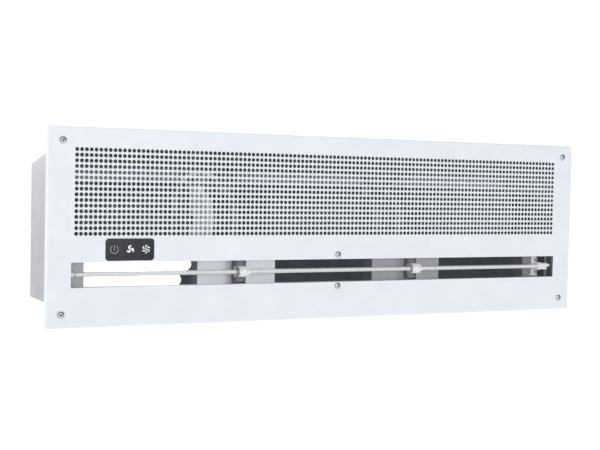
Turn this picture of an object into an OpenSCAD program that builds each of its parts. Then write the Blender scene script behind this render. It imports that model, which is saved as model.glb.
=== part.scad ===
// Recessed air curtain: a face panel with a perforated inlet and one long outlet slot, over a sheet-metal box
// that holds three blowers on two motors. A hand-set vane in the slot turns the jet.
// The front looks to -Y, +X runs along the width, +Z is up. The origin is the centre of the wall plane that the
// flange bears on: y = 0 is the wall, the panel stands in front of it and the box goes into it.

/* [Blowers] */
// Distance between neighbouring blowers
fan_pitch = 305.5; // [270:0.5:340]
// Inner width of a fan casing and of its outlet
fan_w = 176; // [150:1:200]
// Radius of a blower wheel
wheel_r = 55; // [48:0.5:62]
// Blades of a blower wheel
wheel_blades = 36; // [24:1:40]
// Depth of a blade along the radius
blade_depth = 9; // [7:0.5:11]
// Gap between the wheel and the casing at the tongue
tongue_gap = 7; // [5:0.5:10]
// Height of the blowers' axis above the top of their outlets
tongue_drop = 53.5; // [44:0.5:58]
// Sheet thickness of a fan casing
casing_t = 1; // [0.8:0.1:1.5]
// Height of the feet that a fan casing stands on
foot_h = 26.3; // [20:0.1:34]
// Radius of the inlet openings
inlet_r = 44; // [38:0.5:46]
// Gap between the wheel's end and the casing's side
wheel_side_gap = 8; // [6:0.5:12]

/* [Outlet slot] */
// Height of the slot
slot_h = 36; // [32:1:42]
// Distance from the slot's end to the box's outer face
slot_end_gap = 6; // [5:0.5:8]

/* [Outlet deck] */
// Distance of the deck's web behind the wall plane
deck_y = 12; // [10:0.5:16]
// Thickness of the deck sheet
deck_t = 1.2; // [0.8:0.1:1.6]
// Step from the slot's edge out to the deck's legs
deck_step = 1.2; // [0.8:0.1:1.3]
// Step from the deck's upper leg up to the outlet's top
throat_step_top = 2.8; // [2:0.2:5]
// Step from the deck's lower leg down to the outlet's bottom
throat_step_bottom = 4.8; // [2:0.2:7]
// Depth of the collars between the deck and the fan casings
collar_d = 25; // [22:0.5:32]
// Gap between the collars' rear and the curved front of the fan casings
casing_front_gap = 6.25; // [4:0.25:12]

/* [Box] */
// Room inside the box beside the left outlet
left_room = 29.8; // [27:0.2:40]
// Room inside the box beside the right outlet, for the electrical parts
right_room = 52.8; // [48:0.2:70]
// Room for the leads between the fan casings and the box's top
lead_room = 18.04; // [14:0.02:30]
// Thickness of the box sheet
box_t = 1.2; // [0.8:0.1:1.6]
// Level part of the top, before it slopes down to the rear
box_flat = 48; // [30:1:80]
// Angle at which the top slopes down to the rear
drop_angle = 10.05; // [4:0.05:12]

/* [Face panel] */
// Overlap of the panel on the wall beyond the box's sides
panel_lap_x = 29; // [26:0.5:40]
// Overlap of the panel on the wall beyond the box's top and bottom
panel_lap_z = 24.5; // [22:0.5:36]
// Depth of the folded rim, from the wall to the front
panel_stand = 12; // [10:0.5:16]
// Thickness of the panel sheet
panel_t = 1.2; // [0.8:0.1:2]

/* [Inlet holes] */
// Spacing of the holes along the width, one for each block of four of the fine perforation
hole_pitch_x = 14; // [13:0.5:20]
// Spacing of the holes along the height, one for each block of four of the fine perforation
hole_pitch_z = 16; // [14:0.5:22]
// Diameter of one hole
hole_d = 11; // [6:0.5:12]
// Least distance from a hole's middle to the panel's side
hole_margin_x = 45; // [38:0.5:60]
// Distance from the top row's middle to the panel's top
hole_margin_top = 36; // [30:0.5:50]
// Least gap between the lowest row and the touch lens
hole_touch_gap = 5.2; // [4:0.1:20]

/* [Touch panel] */
// Width of the touch lens
touch_w = 73.5; // [60:0.5:84]
// Height of the touch lens
touch_h = 32.2; // [26:0.1:33]
// Thickness of the touch lens in front of the panel
touch_t = 0.8; // [0.5:0.1:1.5]
// Corner radius of the touch lens
touch_r = 4; // [1:0.5:6]
// Distance from the slot's left end to the touch lens
touch_from_slot_x = 49.5; // [40:0.5:80]
// Distance from the slot's top to the touch lens
touch_from_slot_z = 1.9; // [1.6:0.1:4]
// Overlap of the lens on the panel around its cut-out
touch_lap = 2; // [1:0.5:4]
// Depth of the control housing behind the panel
control_d = 15; // [10:0.5:18]

/* [Motors] */
// Radius of a motor
motor_r = 42; // [37:0.5:46]
// Length of a motor's can
motor_len = 66; // [56:1:74]
// Radius of the motor shafts
shaft_r = 5; // [4:0.25:6]
// Radius of the rotor
rotor_r = 24; // [20:0.5:28]

/* [Vane] */
// Depth of the vane from edge to edge
vane_chord = 19; // [16:0.5:21]
// Thickness of the vane
vane_t = 5.4; // [3.5:0.1:6]
// Gap between the vane's rear edge and the end brackets
vane_gap = 0.5; // [0.4:0.1:2]
// Place of the left middle support from the middle of its motor
support_offset_left = 7.25; // [0:0.25:10]
// Place of the right middle support from the middle of its motor
support_offset_right = 12.75; // [10:0.25:16]
// Distance from the left outlet to the vane's left support
vane_left_step = 22; // [20:0.5:24]
// Distance from the right outlet to the vane's right support
vane_right_step = 23; // [20:0.5:26]
// Radius of the vane's journals
journal_r = 4.5; // [4:0.25:5]

/* [Light tubes] */
// Gap between a tube and the outlet's top or bottom
tube_edge_gap = 1.5; // [1:0.1:3]
// Gap between the two tubes
tube_mid_gap = 4; // [2:0.25:6]
// Distance of the tubes' axes behind the deck's web
tube_back = 13; // [12:0.25:15]
// Length of the upper tube in the outlet
tube_upper_len = 170; // [100:1:174]
// Length of the lower tube in the outlet
tube_lower_len = 154; // [100:1:174]
// Thickness of the tubes' glass
glass_t = 1; // [0.6:0.1:2]

/* [Fastening] */
// Distance between the wall screws along the width
wall_bolts_w = 500; // [300:10:700]
// Distance from the box's top and bottom to the wall screws
wall_bolts_step = 11; // [9:0.5:14]
// Diameter of the wall screw holes
wall_hole_d = 5.5; // [4.5:0.5:6]
// Distance between the hanger holes in the rear along the width
hanger_w = 300; // [260:2:340]
// Distance between the hanger holes in the rear along the height
hanger_h = 150; // [140:2:166]
// Diameter of the hanger holes
hanger_d = 9; // [6:0.5:10]
// Place of the panel screws in from the panel's sides
screw_inset_x = 21; // [18:0.5:23]
// Place of the panel screws in from the panel's top and bottom
screw_inset_z = 20; // [17:0.5:22]
// Place of the slot screws beyond the slot's edge
slot_screw_step = 6.8; // [6:0.1:8]
// Shank diameter of the panel screws
screw_d = 4; // [3:0.5:4.5]
// Head diameter of the panel screws
head_d = 9.6; // [8:0.2:11]
// Bore of the cable gland
gland_bore = 13; // [8:0.5:15]

/* [Hidden] */
$fn = 48;
seat_gap = 0.3; // a seated piece stands this far off a curved or free seat
fit_gap = 0.05; // radial clearance of a turning or screwed fit
through = 1; // a cut runs this far past a face

function rounded(v) = round(100 * v) / 100;

// Heights, counted up from the outlet's bottom to the blowers' axis and on to the box's top
throat_h = slot_h + 2 * deck_step + throat_step_top + throat_step_bottom;
tongue_r = wheel_r + tongue_gap;
tongue_angle = asin(tongue_drop / tongue_r); // below the axis, on the front side
scroll_turn = 270 + tongue_angle;
scroll_end_r = tongue_drop + throat_h;
function scroll_r(turn) = tongue_r + (scroll_end_r - tongue_r) * turn / scroll_turn;
scroll_top_r = scroll_r(tongue_angle + 90) + casing_t;
deck_back = deck_y + deck_t;
collar_back = deck_back + collar_d;
casing_front = collar_back + casing_front_gap;
fan_y = rounded(casing_front + casing_t + scroll_r(tongue_angle));
box_d = rounded(fan_y + scroll_r(tongue_angle + 180) + casing_t + seat_gap + box_t);
box_h = rounded(2 * box_t + foot_h + scroll_end_r + scroll_top_r + lead_room
  + (fan_y - box_flat) * tan(drop_angle));

throat_bottom = -box_h / 2 + box_t + foot_h; // inner faces of the collars and the casings' throats
throat_top = throat_bottom + throat_h;
fan_z = throat_top + tongue_drop;
leg_top = throat_top - throat_step_top; // inner faces of the deck's legs
leg_bottom = throat_bottom + throat_step_bottom;
slot_top = leg_top - deck_step;
slot_bottom = leg_bottom + deck_step;
slot_z = (slot_top + slot_bottom) / 2;

casing_w = fan_w + 2 * casing_t;
box_in_w = 2 * fan_pitch + fan_w + left_room + right_room;
box_w = box_in_w + 2 * box_t;
fans = [for (k = [0:2]) -box_w / 2 + box_t + left_room + fan_w / 2 + k * fan_pitch];
collar_left = fans[0] - fan_w / 2;
slot_w = box_w - 2 * slot_end_gap;
panel_w = box_w + 2 * panel_lap_x;
panel_h = box_h + 2 * panel_lap_z;
panel_back = -panel_stand + panel_t;
screw_x = panel_w / 2 - screw_inset_x;
screw_z = panel_h / 2 - screw_inset_z;
wall_bolts_h = box_h + 2 * wall_bolts_step;
deck_margin = 3.5;

touch_x = -slot_w / 2 + touch_from_slot_x + touch_w / 2;
touch_z = slot_top + touch_from_slot_z + touch_h / 2;
control_inset = 1.5;
control_w = touch_w - 2 * control_inset;
control_h = touch_h - 2 * control_inset;
control_wall = 1.6;

hole_columns = 1 + floor((panel_w - 2 * hole_margin_x) / hole_pitch_x + 0.01);
hole_top_z = panel_h / 2 - hole_margin_top;
hole_rows = 1 + floor((hole_top_z - hole_d / 2 - touch_z - touch_h / 2 - hole_touch_gap) / hole_pitch_z + 0.01);

wheel_w = fan_w - 2 * wheel_side_gap;
hub_r = 11;
hub_len = 26;
inlet_lip = 7;

motor_x = [fans[0] + fan_pitch / 2, fans[1] + fan_pitch / 2];
can_t = 1.5;
bell_t = 3;
bearing_r = 11;
bearing_w = 8;
air_gap = 0.6;
winding_room = 14; // between a core and the motor's end
core_len = motor_len - 2 * bell_t - 2 * winding_room;
pad_w = 12; // width of a saddle arm and of a motor band
pad_x = motor_len / 2 - pad_w;
band_t = 1.2;
saddle_ear = 12; // height of a saddle arm above and below the motor
arm_h = 2 * motor_r + 2 * saddle_ear;

strip_t = 2; // thickness of the vane brackets' strips
vane_y = deck_y - strip_t - vane_gap - vane_chord / 2;
supports = [motor_x[0] + support_offset_left, motor_x[1] + support_offset_right];
vane_left_x = collar_left - vane_left_step;
vane_right_x = fans[2] + fan_w / 2 + vane_right_step;
journal_w = 6;
bracket_w = 5.4;
disc_t = 8;
star_t = 2;
star_r = 8.8; // the clutch discs at the journals
click_r = 9.4; // the toothed click disc
disc_r = 8.6;
vane_end_r = 6.4;
teeth = 12;

tube_r = (throat_h - 2 * tube_edge_gap - tube_mid_gap) / 4;
tube_spread = tube_r + tube_mid_gap / 2; // half the distance between the two tubes' axes
tube_y = deck_y + tube_back;
tube_z = (throat_top + throat_bottom) / 2;
tube_start = -box_w / 2 + box_t + 8;

capacitor_r = 14;
capacitor_len = 44;
capacitor_y = fan_y - inlet_r - casing_t - capacitor_r - 2;
capacitor_z = [fan_z + 38, fan_z + 2];

terminal_gap = 9; // between the right fan casing and the terminal box
terminal_d = 60;
terminal_h = 70;
terminal_wall = 1.6;
terminal_step = 11; // between the terminals
terminal_low = [fans[2] + casing_w / 2 + terminal_gap, box_d - 8 - terminal_d, fan_z - 3 - terminal_h];
terminal_high = [box_w / 2 - box_t, terminal_low.y + terminal_d, terminal_low.z + terminal_h];
block_low = terminal_low + [terminal_wall, 6, 6];
block_size = [14, 4 * terminal_step, 14];
terminal_lead = [block_low.x + block_size.x / 2, block_low.y + terminal_step * 1.5,
  block_low.z + block_size.z + seat_gap]; // where the supply lead ends
gland_y = (terminal_low.y + terminal_high.y) / 2;
gland_z = (terminal_low.z + terminal_high.z) / 2;
gland_thread_r = gland_bore / 2 + 2;

// Leads: routes through points placed by hand, which start and end square on the pieces they join
lead_r = 2.6;
lead_gap = 0.8; // from a lead's end or side to the piece it joins
lead_top = fan_z + scroll_top_r + 3;
// A place over a motor's can, in a plane across the axis: turn from straight up, towards the rear
function over_can(x, turn, away) =
  [x, fan_y + (motor_r + away) * sin(turn), fan_z + (motor_r + away) * cos(turn)];
control_exit = [touch_x + control_w / 2 + lead_gap, -2, touch_z + 5];
control_lead_route = [
  control_exit, control_exit + [9, 0.5, 1], control_exit + [21, 7, 6], control_exit + [35, 18, 14],
  [motor_x[0] - 98, casing_front - 14, fan_z + 4], [motor_x[0] - 94, casing_front - 10, fan_z + 37],
  [motor_x[0] - 82, casing_front - 8, fan_z + 62], [motor_x[0] - 58, casing_front - 4, fan_z + 74],
  [motor_x[0] - 32, casing_front + 8, fan_z + 72], [motor_x[0] - 12, casing_front + 28, fan_z + 64],
  over_can(motor_x[0], -15, 12), over_can(motor_x[0], -15, lead_gap),
];
motor_lead_route = [
  over_can(motor_x[0] + 7, 10, lead_gap), over_can(motor_x[0] + 7, 10, 12),
  [motor_x[0] + 24, fan_y + 26, lead_top - 7], [motor_x[0] + 64, fan_y + 36, lead_top],
  [fans[1] + 11, fan_y + 38, lead_top], [motor_x[1] - 51, fan_y + 36, lead_top],
  [motor_x[1] - 15, fan_y + 26, lead_top - 7],
  over_can(motor_x[1], 10, 12), over_can(motor_x[1], 10, lead_gap),
];
supply_lead_route = [
  over_can(motor_x[1] + 7, -10, lead_gap), over_can(motor_x[1] + 7, -10, 12),
  [motor_x[1] + 23, casing_front + 30, lead_top - 7], [fans[2] - 94, casing_front + 10, lead_top + 3],
  [fans[2] - 4, casing_front + 8, lead_top + 4], [fans[2] + 76, casing_front + 14, lead_top + 1],
  [terminal_lead.x - 4, casing_front + 40, lead_top - 19], [terminal_lead.x, terminal_lead.y - 37, fan_z + 40],
  [terminal_lead.x, terminal_lead.y - 4, fan_z + 12], terminal_lead + [0, 0, 30], terminal_lead,
];

// A block between two opposite corners
module block(a, b) {
  translate(a) cube(b - a);
}

// A cylinder along +X from x0 to x1 around the line y, z
module rod_x(x0, x1, r, y, z, r2 = undef) {
  translate([x0, y, z]) rotate([0, 90, 0])
    cylinder(h = x1 - x0, r1 = r, r2 = r2 == undef ? r : r2);
}

// A cylinder along +Y from y0 to y1 around the line x, z
module rod_y(y0, y1, r, x, z) {
  translate([x, y0, z]) rotate([-90, 0, 0]) cylinder(h = y1 - y0, r = r);
}

// Extrudes an outline drawn in (y, z) along +X from x0 to x1
module along_x(x0, x1) {
  translate([x0, 0, 0]) rotate([90, 0, 90]) linear_extrude(x1 - x0) children();
}

// Extrudes an outline drawn in (x, z) along +Y from y0 to y1
module along_y(y0, y1) {
  translate([0, y1, 0]) rotate([90, 0, 0]) linear_extrude(y1 - y0) children();
}

// A rectangle with round corners, about its middle
module round_rect(w, h, r) {
  square([w - 2 * r, h], center = true);
  square([w, h - 2 * r], center = true);
  for (sx = [-1, 1], sz = [-1, 1])
    translate([sx * (w / 2 - r), sz * (h / 2 - r)]) circle(r);
}

module corner_places() {
  for (sx = [-1, 1], sz = [-1, 1]) translate([sx * screw_x, 0, sz * screw_z]) children();
}

module slot_screw_places() {
  for (z = [slot_top + slot_screw_step, slot_bottom - slot_screw_step]) translate([0, 0, z]) children();
}

// ---- Face panel and its screws ----

module face_panel() {
  color([0.92, 0.93, 0.95]) difference() {
    block([-panel_w / 2, -panel_stand, -panel_h / 2], [panel_w / 2, 0, panel_h / 2]);
    block([-panel_w / 2 + panel_t, panel_back, -panel_h / 2 + panel_t],
      [panel_w / 2 - panel_t, through, panel_h / 2 - panel_t]);
    for (i = [0:hole_columns - 1], j = [0:hole_rows - 1])
      rod_y(-panel_stand - through, 0, hole_d / 2,
        (i - (hole_columns - 1) / 2) * hole_pitch_x,
        hole_top_z - j * hole_pitch_z);
    block([-slot_w / 2, -panel_stand - through, slot_bottom], [slot_w / 2, 0, slot_top]);
    block([touch_x - touch_w / 2 + touch_lap, -panel_stand - through, touch_z - touch_h / 2 + touch_lap],
      [touch_x + touch_w / 2 - touch_lap, 0, touch_z + touch_h / 2 - touch_lap]);
    corner_places() rod_y(-panel_stand - through, 0, screw_d / 2 + 0.3, 0, 0);
    slot_screw_places() rod_y(-panel_stand - through, 0, screw_d / 2 + 0.3, 0, 0);
  }
}

// A pan-head screw whose shank runs to the rear, with a cross recess
module panel_screw(reach) {
  head_h = 2.4;
  difference() {
    rotate([90, 0, 0]) intersection() {
      cylinder(h = head_h, r = head_d / 2);
      translate([0, 0, head_h - head_d * 0.75]) sphere(r = head_d * 0.75);
    }
    for (turn = [0, 90]) rotate([0, turn, 0])
      block([-2.2, -head_h - through, -0.5], [2.2, -head_h + 1.4, 0.5]);
  }
  rod_y(0, reach, screw_d / 2 - fit_gap, 0, 0);
}

module corner_screws() {
  color([0.75, 0.76, 0.78]) corner_places()
    translate([0, -panel_stand, 0]) panel_screw(panel_stand - box_t - 0.5);
}

module slot_screws() {
  color([0.75, 0.76, 0.78]) slot_screw_places()
    translate([0, -panel_stand, 0]) panel_screw(panel_t + deck_t + 4);
}

// ---- Touch panel ----

module touch_lens() {
  body_w = touch_w - 2 * touch_lap - 0.4;
  body_h = touch_h - 2 * touch_lap - 0.4;
  color([0.2, 0.21, 0.22]) translate([touch_x, 0, touch_z]) {
    along_y(-panel_stand - touch_t, -panel_stand) round_rect(touch_w, touch_h, touch_r);
    block([-body_w / 2, -panel_stand, -body_h / 2], [body_w / 2, panel_back, body_h / 2]);
  }
}

module control_housing() {
  color([0.85, 0.85, 0.84]) translate([touch_x, panel_back, touch_z]) difference() {
    block([-control_w / 2, 0, -control_h / 2], [control_w / 2, control_d, control_h / 2]);
    block([-control_w / 2 + control_wall, -through, -control_h / 2 + control_wall],
      [control_w / 2 - control_wall, control_d - control_wall, control_h / 2 - control_wall]);
  }
}

module control_board() {
  board_t = 1.6;
  color([0.1, 0.4, 0.25]) translate([touch_x, panel_back, touch_z]) {
    block([-control_w / 2 + control_wall, 0, -control_h / 2 + control_wall],
      [control_w / 2 - control_wall, board_t, control_h / 2 - control_wall]);
    for (k = [-1, 0, 1]) block([k * 20 - 6, board_t, -6], [k * 20 + 6, board_t + 5, 6]);
  }
}

// ---- Box ----

// Corners of the box's section in (y, z), moved in from the outer faces
function box_section(inset) = let (
  top = box_h / 2 - inset,
  crease = box_flat - inset * tan(drop_angle / 2),
  rear = box_d - inset
) [
  [0, -box_h / 2 + inset], [rear, -box_h / 2 + inset],
  [rear, top - (rear - crease) * tan(drop_angle)], [crease, top], [0, top]
];

module box_wrap() {
  color([0.84, 0.84, 0.86]) difference() {
    along_x(-box_w / 2 + box_t, box_w / 2 - box_t) difference() {
      polygon(box_section(0));
      polygon(box_section(box_t));
      translate([-through, -box_h / 2 + box_t]) square([2 * through, box_h - 2 * box_t]);
    }
    for (sx = [-1, 1], sz = [-1, 1])
      rod_y(box_d - box_t - through, box_d + through, hanger_d / 2, sx * hanger_w / 2, sz * hanger_h / 2);
  }
}

module end_plate() {
  along_x(0, box_t) polygon(box_section(0));
}

module end_plate_left() {
  color([0.84, 0.84, 0.86]) translate([-box_w / 2, 0, 0]) end_plate();
}

module end_plate_right() {
  color([0.84, 0.84, 0.86]) difference() {
    translate([box_w / 2 - box_t, 0, 0]) end_plate();
    rod_x(box_w / 2 - box_t - through, box_w / 2 + through, gland_thread_r, gland_y, gland_z);
  }
}

flange_play = 0.5; // between the flange's edge and the panel's rim
module mounting_flange() {
  w = panel_w - 2 * panel_t - 2 * flange_play;
  h = panel_h - 2 * panel_t - 2 * flange_play;
  color([0.8, 0.8, 0.82]) difference() {
    block([-w / 2, -box_t, -h / 2], [w / 2, 0, h / 2]);
    block([-box_w / 2 + box_t, -box_t - through, -box_h / 2 + box_t],
      [box_w / 2 - box_t, through, box_h / 2 - box_t]);
    for (sx = [-1, 1], sz = [-1, 1])
      rod_y(-box_t - through, through, wall_hole_d / 2, sx * wall_bolts_w / 2, sz * wall_bolts_h / 2);
  }
}

// Round spacers on the flange that the panel's corner screws go into
module panel_standoffs() {
  color([0.7, 0.7, 0.72]) corner_places() difference() {
    rod_y(panel_back, -box_t, screw_d / 2 + 2.5, 0, 0);
    rod_y(panel_back - through, -box_t + through, screw_d / 2, 0, 0);
  }
}

// ---- Outlet deck, collars and vane brackets' seats ----

plate_roll = 14; // radius of the rolled edge beside each middle support
recess_left = -plate_roll - 10; // from the support, where the roll starts
recess_right = 8;
right_window_step = 9; // from the right support to the window beside it
right_window_lap = 0.5;

module outlet_deck() {
  tab = 14;
  w = box_in_w / 2 - seat_gap;
  color([0.6, 0.6, 0.62]) difference() {
    union() {
      block([-w, deck_y, throat_bottom - deck_margin], [w, deck_back, throat_top + deck_margin]);
      for (z = [leg_top, leg_bottom - deck_t])
        block([-w, panel_back + seat_gap, z], [w, deck_y, z + deck_t]);
      for (z = [leg_top + deck_t, leg_bottom - deck_t - tab])
        block([-tab, panel_back + seat_gap, z], [tab, panel_back + seat_gap + deck_t, z + tab]);
      for (x = supports) rolled_edge(x + recess_left);
    }
    for (x = fans)
      block([x - fan_w / 2, deck_y - through, leg_bottom], [x + fan_w / 2, deck_back + through, leg_top]);
    for (x = supports)
      block([x + recess_left, deck_y - through, leg_bottom], [x + recess_right, deck_back, leg_top]);
    block([vane_right_x + right_window_step, deck_y - through, leg_bottom],
      [slot_w / 2 + right_window_lap, deck_back + through, leg_top]);
    slot_screw_places() rod_y(panel_back, deck_y - through, screw_d / 2, 0, 0);
    for (x = bracket_screw_x, s = [-1, 1])
      rod_y(deck_y - through, deck_back + through, bracket_screw_r, x, slot_z + s * bracket_screw_step);
  }
}

// The quarter round that a gap plate ends in, curving back from the deck's front face
module rolled_edge(x) {
  intersection() {
    translate([x, deck_y + plate_roll, leg_bottom - through]) difference() {
      cylinder(h = leg_top - leg_bottom + 2 * through, r = plate_roll);
      translate([0, 0, -through]) cylinder(h = leg_top - leg_bottom + 4 * through, r = plate_roll - deck_t);
    }
    block([x - 0.01, deck_y, leg_bottom - through], [x + plate_roll, deck_y + plate_roll, leg_top + through]);
  }
}

module collar(x) {
  difference() {
    block([x - fan_w / 2 - casing_t, deck_back, throat_bottom - casing_t],
      [x + fan_w / 2 + casing_t, collar_back, throat_top + casing_t]);
    block([x - fan_w / 2, deck_back - through, throat_bottom],
      [x + fan_w / 2, collar_back + through, throat_top]);
  }
}

module collar_left() {
  color([0.3, 0.31, 0.33]) difference() {
    collar(fans[0]);
    for (s = [-1, 1])
      rod_x(collar_left - casing_t - through, collar_left + through, tube_r + seat_gap,
        tube_y, tube_z + s * tube_spread);
  }
}

module collar_middle() {
  color([0.3, 0.31, 0.33]) collar(fans[1]);
}

module collar_right() {
  color([0.3, 0.31, 0.33]) collar(fans[2]);
}

// ---- Blowers ----

// The casing's outline in (y, z), grown by the wall: a spiral round the axis that runs out into the throat
module scroll_outline(wall, front) {
  steps = 30;
  translate([fan_y, fan_z]) polygon([for (k = [0:steps]) let (
    turn = scroll_turn * k / steps,
    angle = 180 + tongue_angle - turn
  ) (scroll_r(turn) + wall) * [cos(angle), sin(angle)]]);
  translate([front, throat_bottom - wall])
    square([fan_y - front, throat_top - throat_bottom + 2 * wall]);
}

module fan_casing(x) {
  left = x - casing_w / 2;
  right = x + casing_w / 2;
  foot_w = 20;
  color([0.62, 0.63, 0.65]) {
    along_x(left, right) difference() {
      scroll_outline(casing_t, collar_back);
      scroll_outline(0, collar_back - through);
    }
    for (x0 = [left, right - casing_t]) along_x(x0, x0 + casing_t) difference() {
      scroll_outline(casing_t, collar_back);
      translate([fan_y, fan_z]) circle(inlet_r);
    }
    for (x0 = [left - inlet_lip, right]) difference() {
      rod_x(x0, x0 + inlet_lip, inlet_r + casing_t, fan_y, fan_z);
      rod_x(x0 - through, x0 + inlet_lip + through, inlet_r, fan_y, fan_z);
    }
    for (x0 = [left, right - casing_t])
      block([x0, fan_y - foot_w, -box_h / 2 + box_t], [x0 + casing_t, fan_y + foot_w, throat_bottom]);
  }
}

// One blade in the plane across the axis: a plate bent once, forward at its outer edge
module blade_outline() {
  t = 0.8;
  inner = wheel_r - blade_depth;
  polygon([[inner, 0], [inner + blade_depth / 2, -1.6], [wheel_r - 0.6, -0.4],
    [wheel_r - 0.6, -0.4 + t], [inner + blade_depth / 2, -1.6 + t], [inner, t]]);
}

module blower_wheel(x) {
  ring_t = 2;
  disc_half = 1.5;
  color([0.25, 0.26, 0.28]) translate([x, fan_y, fan_z]) rotate([0, 90, 0]) difference() {
    union() {
      translate([0, 0, -wheel_w / 2]) linear_extrude(wheel_w)
        for (k = [0:wheel_blades - 1]) rotate(360 * k / wheel_blades) blade_outline();
      for (z = [-wheel_w / 2, wheel_w / 2 - ring_t]) translate([0, 0, z]) difference() {
        cylinder(h = ring_t, r = wheel_r);
        translate([0, 0, -through]) cylinder(h = ring_t + 2 * through, r = wheel_r - blade_depth + 1);
      }
      translate([0, 0, -disc_half]) cylinder(h = 2 * disc_half, r = wheel_r);
      translate([0, 0, -hub_len / 2]) cylinder(h = hub_len, r = hub_r);
    }
    translate([0, 0, -wheel_w]) cylinder(h = 2 * wheel_w, r = shaft_r);
  }
}

// ---- Motors ----

module motor_shell(x) {
  color([0.3, 0.31, 0.33]) difference() {
    union() {
      rod_x(x - motor_len / 2, x + motor_len / 2, motor_r, fan_y, fan_z);
      rod_x(x - motor_len / 2 - bearing_w + bell_t, x + motor_len / 2 + bearing_w - bell_t,
        bearing_r + 4, fan_y, fan_z);
    }
    rod_x(x - motor_len / 2 + bell_t, x + motor_len / 2 - bell_t, motor_r - can_t, fan_y, fan_z);
    rod_x(x - motor_len, x + motor_len, bearing_r, fan_y, fan_z);
  }
}

module motor_stator(x) {
  color([0.5, 0.36, 0.22]) difference() {
    rod_x(x - core_len / 2, x + core_len / 2, motor_r - can_t, fan_y, fan_z);
    rod_x(x - core_len, x + core_len, rotor_r + air_gap, fan_y, fan_z);
  }
}

module motor_bearings(x) {
  color([0.7, 0.7, 0.72]) for (s = [-1, 1]) {
    mid = x + s * (motor_len / 2 + bearing_w / 2 - bell_t);
    difference() {
      rod_x(mid - bearing_w / 2, mid + bearing_w / 2, bearing_r, fan_y, fan_z);
      rod_x(mid - bearing_w, mid + bearing_w, shaft_r + fit_gap, fan_y, fan_z);
    }
  }
}

module motor_rotor(x) {
  color([0.5, 0.5, 0.52]) difference() {
    rod_x(x - core_len / 2, x + core_len / 2, rotor_r, fan_y, fan_z);
    rod_x(x - core_len, x + core_len, shaft_r, fan_y, fan_z);
  }
}

module drive_shaft_left() {
  color([0.75, 0.75, 0.77])
    rod_x(fans[0] - hub_len / 2 - 4, fans[1] + hub_len / 2 + 4, shaft_r, fan_y, fan_z);
}

module drive_shaft_right() {
  color([0.75, 0.75, 0.77])
    rod_x(motor_x[1] - motor_len / 2 - bearing_w, fans[2] + hub_len / 2 + 4, shaft_r, fan_y, fan_z);
}

// Two arms from the box's rear wall, each with a half-round seat for the motor
module motor_saddle(x) {
  rear = box_d - box_t;
  plate_t = 2;
  color([0.66, 0.66, 0.68]) difference() {
    union() {
      block([x - motor_len / 2, rear - plate_t, fan_z - arm_h / 2],
        [x + motor_len / 2, rear, fan_z + arm_h / 2]);
      for (s = [-1, 1]) block([x + s * pad_x - pad_w / 2, fan_y, fan_z - arm_h / 2],
        [x + s * pad_x + pad_w / 2, rear, fan_z + arm_h / 2]);
    }
    rod_x(x - motor_len, x + motor_len, motor_r + fit_gap, fan_y, fan_z);
  }
}

// Half-round straps that hold the motor in its seat, with an ear on each side
module motor_bands(x) {
  color([0.7, 0.7, 0.72]) for (s = [-1, 1]) difference() {
    union() {
      intersection() {
        rod_x(x + s * pad_x - pad_w / 2, x + s * pad_x + pad_w / 2, motor_r + band_t, fan_y, fan_z);
        block([x - motor_len, fan_y - motor_r - 2 * band_t, fan_z - arm_h],
          [x + motor_len, fan_y, fan_z + arm_h]);
      }
      for (z = [fan_z - arm_h / 2, fan_z + motor_r])
        block([x + s * pad_x - pad_w / 2, fan_y - band_t, z],
          [x + s * pad_x + pad_w / 2, fan_y, z + arm_h / 2 - motor_r]);
    }
    rod_x(x - motor_len, x + motor_len, motor_r + fit_gap, fan_y, fan_z);
  }
}

// ---- Vane and its supports ----

// The vane's section in (y, z) about its axis: flat with round edges
module vane_outline() {
  square([vane_chord - vane_t, vane_t], center = true);
  for (s = [-1, 1]) translate([s * (vane_chord - vane_t) / 2, 0]) circle(vane_t / 2);
}

coupler_l = -16.5; // ends of a coupler, from its support
coupler_r = 8.5;
journal_l = coupler_l + star_t;
disc_l = journal_l + journal_w + star_t;
blade_left = vane_left_x + journal_w / 2 + 1;
blade_right = vane_right_x - journal_w / 2 - 1;

// Three lengths of one section, between the couplers
module vane_blade() {
  ends = [blade_left, supports[0] + coupler_l, supports[0] + coupler_r,
    supports[1] + coupler_l, supports[1] + coupler_r, blade_right];
  color([0.9, 0.91, 0.92]) for (k = [0:2])
    translate([0, vane_y, slot_z]) along_x(ends[2 * k], ends[2 * k + 1]) vane_outline();
}

// A toothed disc about +X
module star(x0, x1, r) {
  along_x(x0, x1) for (k = [0:teeth / 4 - 1]) rotate(k * 360 / teeth)
    square(r * sqrt(2), center = true);
}

// A joint between two lengths of the vane: journal, clutch discs, knob, click disc and a tapered nose
module vane_coupler(x) {
  click_l = disc_l + disc_t;
  color([0.95, 0.95, 0.95]) translate([x, vane_y, slot_z]) {
    star(coupler_l, journal_l, star_r);
    rod_x(journal_l, journal_l + journal_w, journal_r, 0, 0);
    star(journal_l + journal_w, disc_l, star_r);
    rod_x(disc_l, click_l, disc_r, 0, 0);
    star(click_l, click_l + star_t, click_r);
    rod_x(click_l + star_t, coupler_r, disc_r - 2, 0, 0, vane_t / 2);
  }
}

module vane_end_left() {
  color([0.95, 0.95, 0.95]) translate([vane_left_x, vane_y, slot_z]) {
    rod_x(-journal_w / 2, journal_w / 2, journal_r, 0, 0);
    rod_x(journal_w / 2, journal_w / 2 + 1, journal_r + 0.6, 0, 0);
  }
}

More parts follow.
